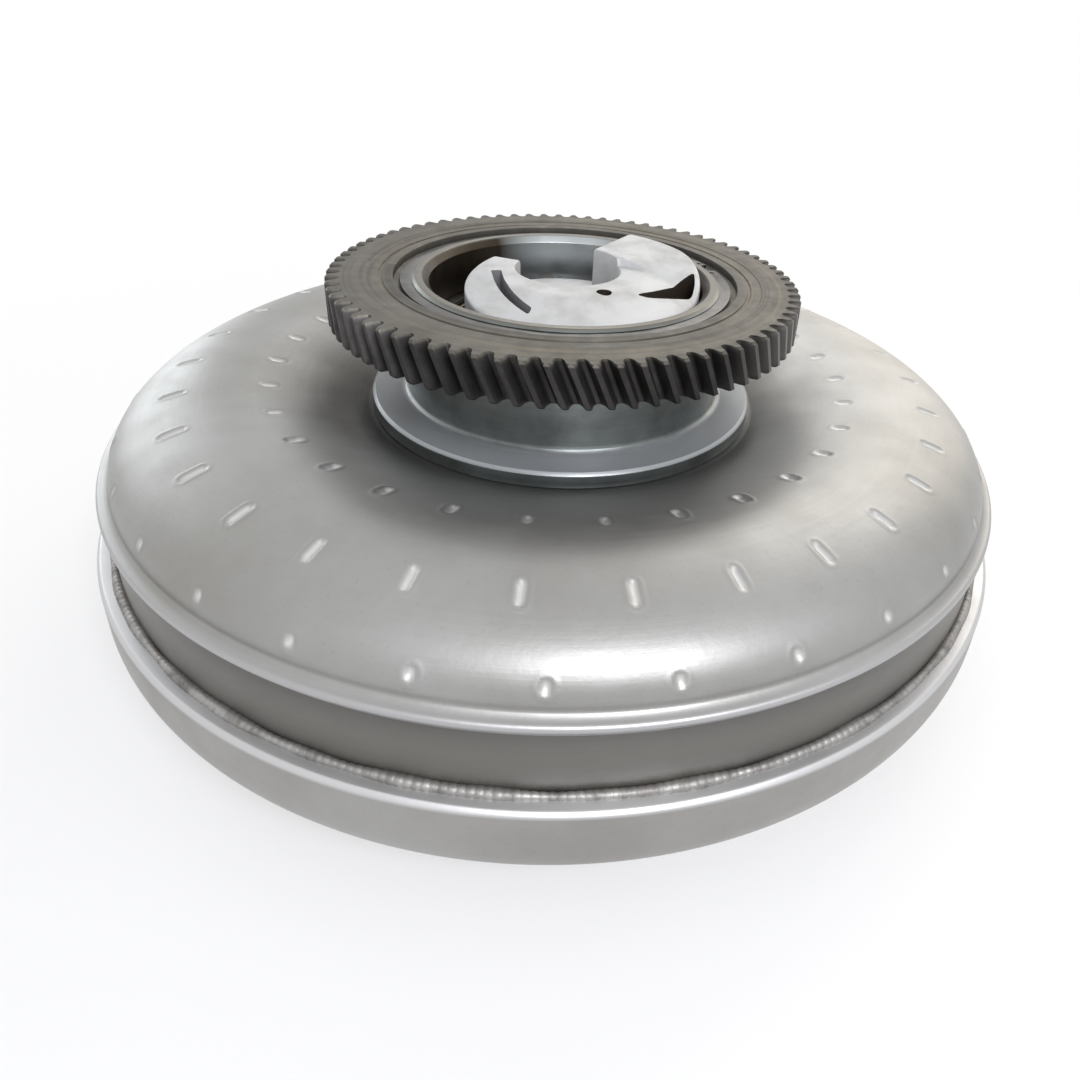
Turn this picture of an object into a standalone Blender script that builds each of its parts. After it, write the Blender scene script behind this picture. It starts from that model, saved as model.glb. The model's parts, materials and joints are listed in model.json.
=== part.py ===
"""A torque converter for a powershift gearbox, standing on its pilot with the impeller side up.

Units are metres, +Z runs up the axis of rotation, and the origin is at the middle of the pilot's face.
Every piece is its own object. Pieces that turn together hang on one empty, which lies on their axis.
Heights are worked out as one stack, from the pilot's face up through the clutch to the drive gear.
"""

import math

import bmesh
import bpy
from mathutils import Matrix

# Clearances
SEAT_GAP = 0.0003
BLADE_GAP = 0.0009
COVER_GAP = 0.0055

# Casing: front cover, impeller shell and what is fixed to them
RIM_RADIUS = 0.180
RIM_PROUD = 0.002
COVER_LIP = 0.0067
COVER_LIP_DEPTH = 0.0069
COVER_WALL = 0.005
COVER_DISH = 0.002
COVER_CORNER = 0.026
COVER_STEP = 0.006
EDGE_CHAMFER = 0.0012
BAND_WALL = 0.0045
BAND_HEIGHT = 0.0254
RIM_ABOVE_SPLIT = 0.0139
RIM_BEAD = 0.0026
SHELL_WALL = 0.004
SHELL_STEP = 0.0023
SHELL_CREST_INSET = 0.0399
SHELL_CREST_ABOVE_SPLIT = 0.0386
SHELL_SHOULDER_ABOVE_RIM = 0.0032
SHELL_FOOT_STEP = 0.0015

# Pilot, lugs, plugs and weight on the cover
PILOT_REACH = 0.006
PILOT_FLANGE_WIDTH = 0.007
PILOT_FLANGE = 0.003
PILOT_CHAMFER = 0.002
PILOT_CENTRE = 0.008
PILOT_CENTRE_DEPTH = 0.003
PILOT_SOCKET_DEPTH = 0.009
PILOT_BUSH_WALL = 0.003
NOSE_WALL = 0.0066
LUG_COUNT = 6
LUG_HEIGHT = 0.008
LUG_LENGTH = 0.046
LUG_WIDTH = 0.030
LUG_CORNER = 0.005
LUG_HOLE = 0.0055
LUG_INSET = 0.029
LUG_TO_STEP = 0.012
PLUG_INSET = 0.012
PLUG_RADIUS = 0.007
PLUG_HEAD_RADIUS = 0.0095
PLUG_HEAD = 0.003
PLUG_SOCKET = 0.0035
PLUG_SOCKET_DEPTH = 0.004
WEIGHT_INSET = 0.018
WEIGHT_WIDTH = 0.010
WEIGHT_LENGTH = 0.034
WEIGHT_HEIGHT = 0.004

# Impeller hub, its gear and the retaining rings
HUB_NECK_WALL = 0.0099
HUB_NECK_LENGTH = 0.032
HUB_NECK_FILLET = 0.003
HUB_FLANGE_WIDTH = 0.0148
HUB_FLANGE = 0.0062
HUB_SPIGOT_STEP = 0.0032
HUB_FLOOR = 0.0085
HUB_BORE_RELIEF = 0.0008
HUB_BORE_CHAMFER = 0.0028
SPIGOT_DEPTH = 0.001
SHELL_BORE_INSET = 0.014
SLEEVE_CLEARANCE = 0.0023
GEAR_TEETH = 77
GEAR_MODULE = 0.0024
GEAR_HELIX = math.radians(22.0)
GEAR_FACE = 0.016
GEAR_RECESS = 0.007
GEAR_RECESS_DEPTH = 0.004
SNAP_RING = 0.0014
SNAP_RING_WIDTH = 0.0058
SNAP_GROOVE = 0.0017
CLIP_WIDTH = 0.005
CLIP_GROOVE = 0.0013
CLIP_OPENING = 0.008

# Ball bearing
BEARING_SECTION = 0.020
BEARING_WIDTH = 0.020
BALL_SHARE = 0.25
BEARING_BALLS = 11
BEARING_SHOULDER = 0.006
BEARING_SHOULDER_WIDTH = 0.009
BALL_CLEARANCE = 0.0009
CAGE_WALL = 0.0024
CAGE_LIP = 0.0008

# Stator support
SLEEVE_RADIUS = 0.027
SLEEVE_WALL = 0.0065
SLEEVE_COLLAR = 0.004
SPLINE_TEETH = 16
SPLINE_DEPTH = 0.0016
SPLINE_CLEARANCE = 0.0004
SPLINE_EASE = 0.0001
PLATE_CLEARANCE = 0.0045
PLATE_EDGE = 0.0145
PLATE_RISE = 0.006
PLATE_GAP = 0.0013
PLATE_EYE_STEP = 0.001
PLATE_LAND = 0.011
PLATE_BEVEL = 0.002
SPIGOT_WALL = 0.008
SPIGOT_SHOULDER = 0.0055
SPIGOT_SHOULDER_HEIGHT = 0.003
BOSS_RISE = 0.0033
BOSS_REACH = 0.003
PORT_DEPTH = 0.0125
PORT_WALL = 0.0022
SLOT_WIDTH = 0.0042
SMALL_PORT = 0.003
SEAL_RING = 0.0022
SEAL_DEPTH = 0.002
SEAL_CLEARANCE = 0.0006

# Angles round the support plate, in degrees from +X
PLATE_START = -118
PLATE_END = 157
PLATE_SPIRAL = 0.633
BOSS_START = -26
BOSS_FLAT = 26
BOSS_END = 60
SLOT_START = 194
SLOT_END = 253
SLOT_SPIRAL = (0.564, 0.86)

# Outline of the wedge-shaped port and place of the small one, as shares of the port circle and angles
WEDGE_PORT = ((1.0, -18), (1.0, -8), (1.0, 2), (0.86, -9),
              (0.75, -28), (0.70, -44), (0.78, -39), (0.875, -28))
SMALL_PORT_PLACE = (0.593, -63)

# Stator and its one-way clutch
STATOR_WIDTH = 0.030
STATOR_BLADES = 15
STATOR_BLADE_LENGTH = 0.022
STATOR_BLADE_THICKNESS = 0.0042
STATOR_BLADE_SWEEP = 0.011
STATOR_SHROUD = 0.003
STATOR_HUB_WALL = 0.0047
STATOR_INSET = 0.001
STATOR_SHROUD_INSET = 0.003
SIDE_PLATE = 0.002
INNER_RACE_WALL = 0.011
OUTER_RACE_WALL = 0.0086
ROLLER_RADIUS = 0.004
ROLLER_COUNT = 8
ROLLER_TRAVEL = math.radians(3.0)
SPRING_SPACE = math.radians(5.6)
POCKET_CLEARANCE = math.radians(0.5)
SPRING_FOLDS = 3
SPRING_DEPTH = 0.0020
SPRING_STRIP = 0.0016
SPRING_END_GAP = 0.002
RACE_CLEARANCE = 0.0012
RAMP_RISE = 0.0015
THRUST_BEARING = 0.004
THRUST_BEARING_WIDTH = 0.013

# Turbine
TURBINE_WALL = 0.0025
TURBINE_CLEARANCE = 0.0035
TURBINE_HUB_LENGTH = 0.0176
TURBINE_HUB_FLANGE = 0.0047
TURBINE_FLANGE_WIDTH = 0.020
TURBINE_LAP = 0.020
TURBINE_BOSS_RADIUS = 0.040
TURBINE_NOSE = 0.0080
TURBINE_BORE = 0.0168
TURBINE_DOME_STEP = 0.008
TURBINE_SKIRT = 0.010
HUB_FACE_STEP = 0.001
THRUST_WASHER = 0.002
RIVET_COUNT = 6
RIVET_INSET = 0.010
RIVET_RADIUS = 0.003
RIVET_HEAD = 0.0016

# Blades and core rings
IMPELLER_BLADES = 31
TURBINE_BLADES = 29
BLADE_THICKNESS = 0.0012
BLADE_END_GAP = 0.0025
BLADE_TIP_GAP = 0.001
SPLIT_GAP = 0.0015
CORE_INNER_GAP = 0.007
CORE_OUTER_GAP = 0.012
CORE_HEIGHT = 0.018
CORE_WALL = 0.002
IMPELLER_LEAN = math.radians(-7.3)
IMPELLER_CURL = math.radians(7.6)
TURBINE_LEAN = math.radians(30.0)
TURBINE_CURL = math.radians(-18.0)

# Facets round a full turn, and points along the inner side of a shell's slope and shoulder
OUTER_SIDES = 32
INNER_SIDES = 24
SMALL_SIDES = 10
RIVET_SIDES = 6
INNER_SHELL_POINTS = (1, 3)

# How far a cutter reaches past what it cuts
CUT_REACH = 0.002

# Radii that follow from those above: first outwards from the sleeve, then inwards from the rim
sleeve_bore = SLEEVE_RADIUS - SLEEVE_WALL
collar_radius = SLEEVE_RADIUS + SLEEVE_COLLAR
inner_race_radius = SLEEVE_RADIUS + INNER_RACE_WALL
roller_circle = inner_race_radius + SEAT_GAP + ROLLER_RADIUS
ramp_radius = roller_circle + ROLLER_RADIUS + SEAT_GAP
outer_race_radius = ramp_radius + RAMP_RISE + OUTER_RACE_WALL
stator_blade_root = outer_race_radius + 2 * SEAT_GAP + STATOR_HUB_WALL
stator_blade_tip = stator_blade_root + STATOR_BLADE_LENGTH
bearing_bore = SLEEVE_RADIUS + SPIGOT_WALL
bearing_outer_radius = bearing_bore + BEARING_SECTION
bearing_ball = BEARING_SECTION * BALL_SHARE
hub_bore_radius = bearing_outer_radius + HUB_BORE_RELIEF
hub_neck_radius = hub_bore_radius + HUB_NECK_WALL
hub_spigot_radius = hub_neck_radius - HUB_SPIGOT_STEP
hub_flange_radius = hub_neck_radius + HUB_FLANGE_WIDTH
shell_foot_radius = hub_flange_radius + SHELL_FOOT_STEP
shell_bore = shell_foot_radius - SHELL_BORE_INSET
blade_inner_radius = shell_foot_radius + BLADE_END_GAP
plate_radius = hub_bore_radius - PLATE_GAP
plate_eye = sleeve_bore + PLATE_EYE_STEP
turbine_shell_bore = TURBINE_BOSS_RADIUS + TURBINE_FLANGE_WIDTH
turbine_flange_radius = turbine_shell_bore + TURBINE_LAP
rivet_circle_radius = turbine_flange_radius - RIVET_INSET
pilot_radius = TURBINE_BORE + NOSE_WALL + 2 * PILOT_BUSH_WALL + 2 * SEAT_GAP
pilot_flange_radius = pilot_radius + PILOT_FLANGE_WIDTH
band_radius = RIM_RADIUS - RIM_PROUD
shell_radius = band_radius - SHELL_STEP
shell_crest_radius = shell_radius - SHELL_CREST_INSET
cover_radius = band_radius + SEAT_GAP + COVER_LIP
lug_circle_radius = cover_radius - COVER_CORNER - LUG_INSET
plug_circle_radius = lug_circle_radius - PLUG_INSET
weight_circle_radius = lug_circle_radius - WEIGHT_INSET
turbine_radius = band_radius - BAND_WALL - TURBINE_CLEARANCE
core_inner_radius = stator_blade_tip + STATOR_SHROUD + CORE_INNER_GAP
core_outer_radius = turbine_radius - CORE_OUTER_GAP

# The stack of heights, from the pilot's face up
lug_face = PILOT_REACH
cover_face = lug_face + LUG_HEIGHT
cover_floor = cover_face + COVER_WALL
centre_face = cover_face + COVER_DISH
centre_floor = centre_face + COVER_WALL
pilot_top = centre_floor + SEAT_GAP + PILOT_FLANGE
washer_low = pilot_top + SEAT_GAP
turbine_hub_low = washer_low + THRUST_WASHER + SEAT_GAP
turbine_hub_top = turbine_hub_low + TURBINE_HUB_LENGTH
lower_thrust_low = turbine_hub_top + SEAT_GAP
stator_low = lower_thrust_low + THRUST_BEARING + SEAT_GAP
stator_top = stator_low + STATOR_WIDTH
race_low = stator_low + SIDE_PLATE + SEAT_GAP
race_top = stator_top - SIDE_PLATE - SEAT_GAP
upper_thrust_low = stator_top + SEAT_GAP
hub_low = upper_thrust_low + THRUST_BEARING + SEAT_GAP
split = (stator_low + stator_top) / 2
rim = split + RIM_ABOVE_SPLIT
seam = rim - BAND_HEIGHT
skirt_foot = seam - COVER_LIP_DEPTH
shell_shoulder = rim + SHELL_SHOULDER_ABOVE_RIM
shell_crest = split + SHELL_CREST_ABOVE_SPLIT
shell_foot = hub_low + SHELL_WALL
hub_flange_low = shell_foot + SEAT_GAP
neck_low = hub_flange_low + HUB_FLANGE
gear_low = neck_low + HUB_NECK_LENGTH
gear_top = gear_low + GEAR_FACE
spigot_top = gear_top - SPIGOT_DEPTH
hub_floor = hub_low + HUB_FLOOR
bearing_low = hub_floor + BEARING_SHOULDER + SEAT_GAP
bearing_top = bearing_low + BEARING_WIDTH
bearing_middle = (bearing_low + bearing_top) / 2
plate_low = bearing_top + PLATE_CLEARANCE
plate_edge_top = plate_low + PLATE_EDGE
plate_top = plate_edge_top + PLATE_RISE
boss_top = plate_top + BOSS_RISE
turbine_crest = cover_floor + COVER_GAP
turbine_flange_top = turbine_hub_top - TURBINE_HUB_FLANGE - SEAT_GAP

collections = {}
bodies = {}
materials = {}


def clear_scene():
    for obj in list(bpy.data.objects):
        bpy.data.objects.remove(obj, do_unlink=True)


def make_collection(name):
    made = bpy.data.collections.new(name)
    bpy.context.scene.collection.children.link(made)
    collections[name] = made
    return made


def make_body(name):
    """An empty on the axis that the pieces of one moving body hang on."""
    empty = bpy.data.objects.new(name + "_axis", None)
    empty.empty_display_size = 0.03
    collections["torque_converter"].objects.link(empty)
    bodies[name] = empty


def make_material(name, colour, roughness, metallic):
    material = bpy.data.materials.new(name)
    material.use_nodes = True
    shader = material.node_tree.nodes["Principled BSDF"]
    shader.inputs["Base Color"].default_value = (*colour, 1.0)
    shader.inputs["Roughness"].default_value = roughness
    shader.inputs["Metallic"].default_value = metallic
    material.diffuse_color = (*colour, 1.0)
    materials[name] = material


def polar(radius, angle):
    return radius * math.cos(angle), radius * math.sin(angle)


def arc(centre, radius, start, end, count):
    """Points along an arc, both ends included, with the angles in degrees."""
    points = []
    for i in range(count):
        angle = math.radians(start + (end - start) * i / (count - 1))
        points.append((centre[0] + radius * math.cos(angle), centre[1] + radius * math.sin(angle)))
    return points


def link(obj, collection="converter_cutters"):
    collections[collection].objects.link(obj)
    if collection == "converter_cutters":
        obj.hide_render = True
        obj.display_type = "WIRE"
    return obj


def turned(name, outline, sides, closed=True):
    """A shape turned about Z. The outline is (radius, height) pairs that run down the outer side first."""
    count = len(outline)
    edges = [(i, i + 1) for i in range(count - 1)]
    if closed:
        edges.append((count - 1, 0))
    mesh = bpy.data.meshes.new(name)
    mesh.from_pydata([(radius, 0.0, height) for radius, height in outline], edges, [])
    obj = link(bpy.data.objects.new(name, mesh))
    screw = obj.modifiers.new("Turn", "SCREW")
    screw.steps = sides
    screw.render_steps = sides
    screw.use_merge_vertices = True
    screw.merge_threshold = 0.00001
    return obj


def ring(name, inner, outer, low, top, sides):
    return turned(name, [(outer, top), (outer, low), (inner, low), (inner, top)], sides)


def rod(name, radius, low, top, sides):
    return turned(name, [(0.0, top), (radius, top), (radius, low), (0.0, low)], sides, closed=False)


def mesh_of(obj):
    """The object's evaluated shape as a mesh of its own."""
    graph = bpy.context.evaluated_depsgraph_get()
    return bpy.data.meshes.new_from_object(obj.evaluated_get(graph))


def prism(name, outlines, low, top):
    """A flat outline, with any holes as further outlines, drawn out along Z."""
    curve = bpy.data.curves.new(name, "CURVE")
    curve.dimensions = "2D"
    curve.fill_mode = "BOTH"
    curve.extrude = (top - low) / 2
    for outline in outlines:
        spline = curve.splines.new("POLY")
        spline.points.add(len(outline) - 1)
        for point, (x, y) in zip(spline.points, outline):
            point.co = (x, y, 0.0, 1.0)
        spline.use_cyclic_u = True
    drawn = link(bpy.data.objects.new(name + "_outline", curve))
    drawn.location.z = (top + low) / 2
    bpy.context.view_layer.update()
    mesh = mesh_of(drawn)
    mesh.transform(drawn.matrix_world)
    bpy.data.objects.remove(drawn, do_unlink=True)
    shape = bmesh.new()
    shape.from_mesh(mesh)
    bmesh.ops.remove_doubles(shape, verts=shape.verts, dist=0.000005)
    bmesh.ops.recalc_face_normals(shape, faces=shape.faces)
    shape.to_mesh(mesh)
    shape.free()
    return link(bpy.data.objects.new(name, mesh))


def boolean(obj, other, operation):
    modifier = obj.modifiers.new(operation.title(), "BOOLEAN")
    modifier.operation = operation
    modifier.object = other
    modifier.solver = "EXACT"


def cut(obj, *others):
    for other in others:
        boolean(obj, other, "DIFFERENCE")


def join(obj, *others):
    for other in others:
        boolean(obj, other, "UNION")


def joined_mesh(name, meshes):
    """Several loose shapes in one helper, each already placed."""
    whole = bmesh.new()
    for mesh in meshes:
        whole.from_mesh(mesh)
    mesh = bpy.data.meshes.new(name)
    whole.to_mesh(mesh)
    whole.free()
    return link(bpy.data.objects.new(name, mesh))


def repeated(name, obj, angles):
    """Copies of a helper turned about Z, all in one new helper."""
    copies = []
    for angle in angles:
        mesh = mesh_of(obj)
        mesh.transform(Matrix.Rotation(angle, 4, "Z"))
        copies.append(mesh)
    return joined_mesh(name, copies)


def settle(obj, name, body, material, sharp=35.0):
    """Makes a finished piece of a helper: its mesh is taken as evaluated, shaded and given its material."""
    mesh = mesh_of(obj)
    mesh.name = name
    mesh.shade_smooth()
    mesh.set_sharp_from_angle(angle=math.radians(sharp))
    mesh.materials.clear()
    mesh.materials.append(materials[material])
    return place(mesh, name, body)


def place(mesh, name, body, location=(0.0, 0.0, 0.0), angle=0.0):
    piece = bpy.data.objects.new(name, mesh)
    collections["torque_converter"].objects.link(piece)
    piece.location = location
    piece.rotation_euler.z = angle
    piece.parent = bodies[body]
    return piece


def shell_line(crest_height, shoulder_height, radius, foot, inset, slope_points, arc_points):
    """The doughnut's section from its foot over the crest to the shoulder, inset from the outer skin."""
    side = 1.0 if crest_height > shoulder_height else -1.0
    crest = crest_height - side * inset
    foot_radius, foot_height = foot
    low = foot_height - side * inset
    points = []
    for i in range(slope_points):
        along = i / slope_points
        r = foot_radius + (shell_crest_radius - foot_radius) * along
        points.append((r, low + (crest - low) * math.sin(along * math.pi / 2)))
    half_width = radius - inset - shell_crest_radius
    for i in range(arc_points):
        turn = math.pi / 2 * (1 - i / (arc_points - 1))
        r = shell_crest_radius + half_width * math.cos(turn)
        points.append((r, shoulder_height + (crest - shoulder_height) * math.sin(turn)))
    return points


def impeller_line(inset, slope_points, arc_points):
    foot = (shell_foot_radius, shell_foot)
    return shell_line(shell_crest, shell_shoulder, shell_radius, foot, inset, slope_points, arc_points)


def turbine_line(inset, slope_points, arc_points):
    foot = (turbine_flange_radius + TURBINE_DOME_STEP, turbine_flange_top - TURBINE_WALL)
    shoulder = split - SPLIT_GAP - TURBINE_SKIRT
    return shell_line(turbine_crest, shoulder, turbine_radius, foot, inset, slope_points, arc_points)


def make_front_cover():
    corner = (cover_radius - COVER_CORNER, cover_face + COVER_CORNER)
    step_outer = lug_circle_radius - LUG_WIDTH / 2 - LUG_TO_STEP
    step_inner = step_outer - COVER_STEP
    seat = band_radius + SEAT_GAP
    eye = pilot_radius + SEAT_GAP
    outline = [(cover_radius - EDGE_CHAMFER, seam), (cover_radius, seam - EDGE_CHAMFER)]
    outline += arc(corner, COVER_CORNER, 0, -90, 5)
    outline += [(step_outer, cover_face), (step_inner, centre_face)]
    outline += [(eye, centre_face), (eye, centre_floor)]
    outline += [(step_inner, centre_floor), (step_outer, cover_floor)]
    outline += arc(corner, COVER_CORNER - COVER_WALL, -90, 0, 3)
    lip_foot = skirt_foot - SEAT_GAP
    outline += [(cover_radius - COVER_WALL, lip_foot), (seat, lip_foot), (seat, seam)]
    cover = turned("cover_blank", outline, OUTER_SIDES)
    hole = rod("plug_hole", PLUG_RADIUS + SEAT_GAP,
               cover_face - CUT_REACH, cover_floor + CUT_REACH, SMALL_SIDES)
    cut(cover, repeated("plug_holes", moved(hole, plug_circle_radius), plug_angles()))
    settle(cover, "front_cover", "casing", "shell_paint")


def moved(obj, distance):
    """A helper moved out along X."""
    mesh = mesh_of(obj)
    mesh.transform(Matrix.Translation((distance, 0.0, 0.0)))
    return link(bpy.data.objects.new(obj.name + "_moved", mesh))


def plug_angles():
    pitch = 2 * math.pi / LUG_COUNT
    return [pitch / 2, pitch / 2 + math.pi]


def make_impeller_shell():
    bead = RIM_BEAD / 4
    inside = band_radius - BAND_WALL
    outline = [(shell_bore, shell_foot)]
    outline += impeller_line(0.0, 3, 6)
    outline += [(shell_radius + bead, rim + 3 * bead), (RIM_RADIUS - bead, rim + bead)]
    outline += [(RIM_RADIUS, rim - bead), (band_radius, rim - RIM_BEAD), (band_radius, skirt_foot)]
    outline += [(inside, skirt_foot), (inside, rim - EDGE_CHAMFER)]
    outline += list(reversed(impeller_line(SHELL_WALL, *INNER_SHELL_POINTS)))
    outline += [(shell_bore, shell_foot - SHELL_WALL)]
    settle(turned("shell_blank", outline, OUTER_SIDES), "impeller_shell", "casing", "shell_paint", 50.0)


def blade_wheel(name, body, count, curve, side, mouth, shell_points):
    """A pressed wheel: thin curved blades brazed to a half-round core ring, all in one mesh.

    The ring is laid out as sections round the axis, two for each blade, a blade's thickness apart.
    Side is +1 above the split and -1 below it. The curve is how far the blade leans round the axis on
    its way across the core ring, and how far it curls on top of that.
    """
    lean, curl = curve
    stations = len(shell_points)
    outer = core_arc(0.0, stations, side, mouth)
    inner = core_arc(CORE_WALL, 3, side, mouth)
    reach = outer[-1][0] - outer[0][0]
    shape = bmesh.new()

    def point(radius, height, middle, edge):
        share = (radius - outer[0][0]) / reach
        bend = lean * share + curl * share ** 2 + edge * BLADE_THICKNESS / 2 / radius
        x, y = polar(radius, middle + bend)
        return shape.verts.new((x, y, height))

    sections = []
    for blade in range(count):
        middle = 2 * math.pi * blade / count
        for edge in (-1, 1):
            core = [point(radius, height, middle, edge) for radius, height in outer]
            back = [point(radius, height, middle, edge) for radius, height in inner]
            tips = [point(radius, height, middle, edge) for radius, height in shell_points]
            sections.append((core, back, tips))
    for i, (core, back, tips) in enumerate(sections):
        next_core, next_back, next_tips = sections[(i + 1) % len(sections)]
        loop = core + list(reversed(back))
        next_loop = next_core + list(reversed(next_back))
        is_blade = i % 2 == 0
        for j in range(len(loop)):
            k = (j + 1) % len(loop)
            if is_blade and j < stations - 1:
                continue
            shape.faces.new((loop[j], loop[k], next_loop[k], next_loop[j]))
        if not is_blade:
            continue
        for j in range(stations - 1):
            shape.faces.new((core[j], core[j + 1], tips[j + 1], tips[j]))
            shape.faces.new((next_core[j], next_tips[j], next_tips[j + 1], next_core[j + 1]))
            shape.faces.new((tips[j], tips[j + 1], next_tips[j + 1], next_tips[j]))
        for j in (0, stations - 1):
            shape.faces.new((core[j], tips[j], next_tips[j], next_core[j]))
    bmesh.ops.triangulate(shape, faces=shape.faces)
    bmesh.ops.recalc_face_normals(shape, faces=shape.faces)
    mesh = bpy.data.meshes.new(name)
    shape.to_mesh(mesh)
    shape.free()
    settle(link(bpy.data.objects.new(name + "_blank", mesh)), name, body, "pressed_steel", 40.0)


def core_arc(shrink, points, side, mouth):
    """The half-round section of a core ring, from its inner edge over the crest to its outer edge."""
    middle = (core_inner_radius + core_outer_radius) / 2
    half_width = (core_outer_radius - core_inner_radius) / 2 - shrink
    line = []
    for i in range(points):
        turn = math.pi * (1 - i / (points - 1))
        height = mouth + side * (CORE_HEIGHT - shrink) * math.sin(turn)
        line.append((middle + half_width * math.cos(turn), height))
    return line


def make_wheels():
    mouth = split + SPLIT_GAP
    line = impeller_line(SHELL_WALL + BLADE_GAP, *INNER_SHELL_POINTS)
    line[0] = (blade_inner_radius, line[0][1])
    line.append((shell_radius - SHELL_WALL - BLADE_GAP - BLADE_TIP_GAP, mouth))
    curve = (IMPELLER_LEAN, IMPELLER_CURL)
    blade_wheel("impeller_blade_wheel", "casing", IMPELLER_BLADES, curve, 1.0, mouth, line)
    mouth = split - SPLIT_GAP
    line = turbine_line(TURBINE_WALL + BLADE_GAP, *INNER_SHELL_POINTS)
    line.append((turbine_radius - TURBINE_WALL - BLADE_GAP - BLADE_TIP_GAP, mouth))
    curve = (TURBINE_LEAN, TURBINE_CURL)
    blade_wheel("turbine_blade_wheel", "turbine", TURBINE_BLADES, curve, -1.0, mouth, line)


def make_impeller_hub():
    spigot = hub_spigot_radius
    neck = hub_neck_radius
    bore = hub_bore_radius
    groove = spigot - SNAP_GROOVE
    groove_low = gear_top - GEAR_RECESS_DEPTH
    groove_top = groove_low + SNAP_RING + 2 * SEAT_GAP
    seat = bearing_outer_radius + SEAT_GAP
    shoulder = seat - BEARING_SHOULDER_WIDTH
    eye = SLEEVE_RADIUS + SLEEVE_CLEARANCE
    clip_low = bearing_top + SEAT_GAP
    clip_top = clip_low + SNAP_RING + 2 * SEAT_GAP
    outline = [(spigot - EDGE_CHAMFER, spigot_top), (spigot, spigot_top - EDGE_CHAMFER)]
    outline += [(spigot, groove_top), (groove, groove_top), (groove, groove_low), (spigot, groove_low)]
    seat_height = gear_low - SEAT_GAP
    outline += [(spigot, seat_height), (neck, seat_height), (neck, neck_low + HUB_NECK_FILLET)]
    outline += [(neck + HUB_NECK_FILLET, neck_low), (hub_flange_radius - EDGE_CHAMFER, neck_low)]
    outline += [(hub_flange_radius, neck_low - EDGE_CHAMFER), (hub_flange_radius, hub_flange_low)]
    outline += [(shell_bore - 2 * SEAT_GAP, hub_flange_low), (shell_bore - 2 * SEAT_GAP, hub_low)]
    outline += [(eye, hub_low), (eye, hub_floor), (shoulder, hub_floor), (shoulder, bearing_low - SEAT_GAP)]
    outline += [(seat, bearing_low - SEAT_GAP), (seat, clip_low), (bore + CLIP_GROOVE, clip_low)]
    outline += [(bore + CLIP_GROOVE, clip_top), (bore, clip_top), (bore, spigot_top - HUB_BORE_CHAMFER)]
    outline += [(bore + HUB_BORE_CHAMFER, spigot_top)]
    settle(turned("hub_blank", outline, INNER_SIDES), "impeller_hub", "casing", "machined_steel")
    clip = ring("bearing_clip_blank", bore - CLIP_WIDTH, bore + CLIP_GROOVE - SEAT_GAP, clip_low + SEAT_GAP,
                clip_low + SEAT_GAP + SNAP_RING, INNER_SIDES)
    cut(clip, clip_gap("bearing_clip_gap", bore, clip_low, clip_top, 100.0))
    settle(clip, "bearing_retaining_ring", "casing", "spring_steel")
    snap = ring("snap_ring_blank", groove + SEAT_GAP, groove + SEAT_GAP + SNAP_RING_WIDTH,
                groove_low + SEAT_GAP, groove_low + SEAT_GAP + SNAP_RING, INNER_SIDES)
    cut(snap, clip_gap("snap_ring_gap", groove, groove_low, groove_top, 20.0))
    settle(snap, "gear_retaining_ring", "casing", "spring_steel")


def clip_gap(name, radius, low, top, angle):
    """The cutter that opens a retaining ring at one side."""
    reach = 2 * SNAP_RING_WIDTH
    half = CLIP_OPENING / 2
    outline = [(radius - reach, -half), (radius + reach, -half)]
    outline += [(radius + reach, half), (radius - reach, half)]
    gap = prism(name, [outline], low - CUT_REACH, top + CUT_REACH)
    gap.data.transform(Matrix.Rotation(math.radians(angle), 4, "Z"))
    return gap


def make_drive_gear():
    """A left-hand helical gear: one tooth outline lofted down the face with a turn, then bored."""
    pitch_radius = GEAR_TEETH * GEAR_MODULE / 2
    tip = pitch_radius + GEAR_MODULE
    root = pitch_radius - 1.2 * GEAR_MODULE
    pitch = 2 * math.pi / GEAR_TEETH
    twist = GEAR_FACE * math.tan(GEAR_HELIX) / pitch_radius
    corners = ((-0.36, root), (-0.15, tip), (0.15, tip), (0.36, root))
    slices = 2
    shape = bmesh.new()
    loops = []
    for level in range(slices):
        share = level / (slices - 1)
        loop = []
        for tooth in range(GEAR_TEETH):
            for offset, radius in corners:
                x, y = polar(radius, pitch * (tooth + offset) + twist * share)
                loop.append(shape.verts.new((x, y, gear_top - GEAR_FACE * share)))
        loops.append(loop)
    count = len(loops[0])
    for upper, lower in zip(loops, loops[1:]):
        for i in range(count):
            j = (i + 1) % count
            shape.faces.new((upper[i], lower[i], lower[j], upper[j]))
    shape.faces.new(loops[0])
    shape.faces.new(list(reversed(loops[-1])))
    bmesh.ops.triangulate(shape, faces=[f for f in shape.faces if len(f.verts) == 4])
    bmesh.ops.recalc_face_normals(shape, faces=shape.faces)
    mesh = bpy.data.meshes.new("gear_blank")
    shape.to_mesh(mesh)
    shape.free()
    gear = link(bpy.data.objects.new("gear_blank", mesh))
    bore = hub_spigot_radius + SEAT_GAP
    recess = gear_top - GEAR_RECESS_DEPTH
    recess_radius = hub_spigot_radius + GEAR_RECESS
    outline = [(0.0, gear_top + CUT_REACH), (recess_radius, gear_top + CUT_REACH), (recess_radius, recess)]
    outline += [(bore, recess), (bore, gear_low - CUT_REACH), (0.0, gear_low - CUT_REACH)]
    cut(gear, turned("gear_bore", outline, INNER_SIDES, closed=False))
    settle(gear, "drive_gear", "casing", "gear_steel", 30.0)


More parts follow.
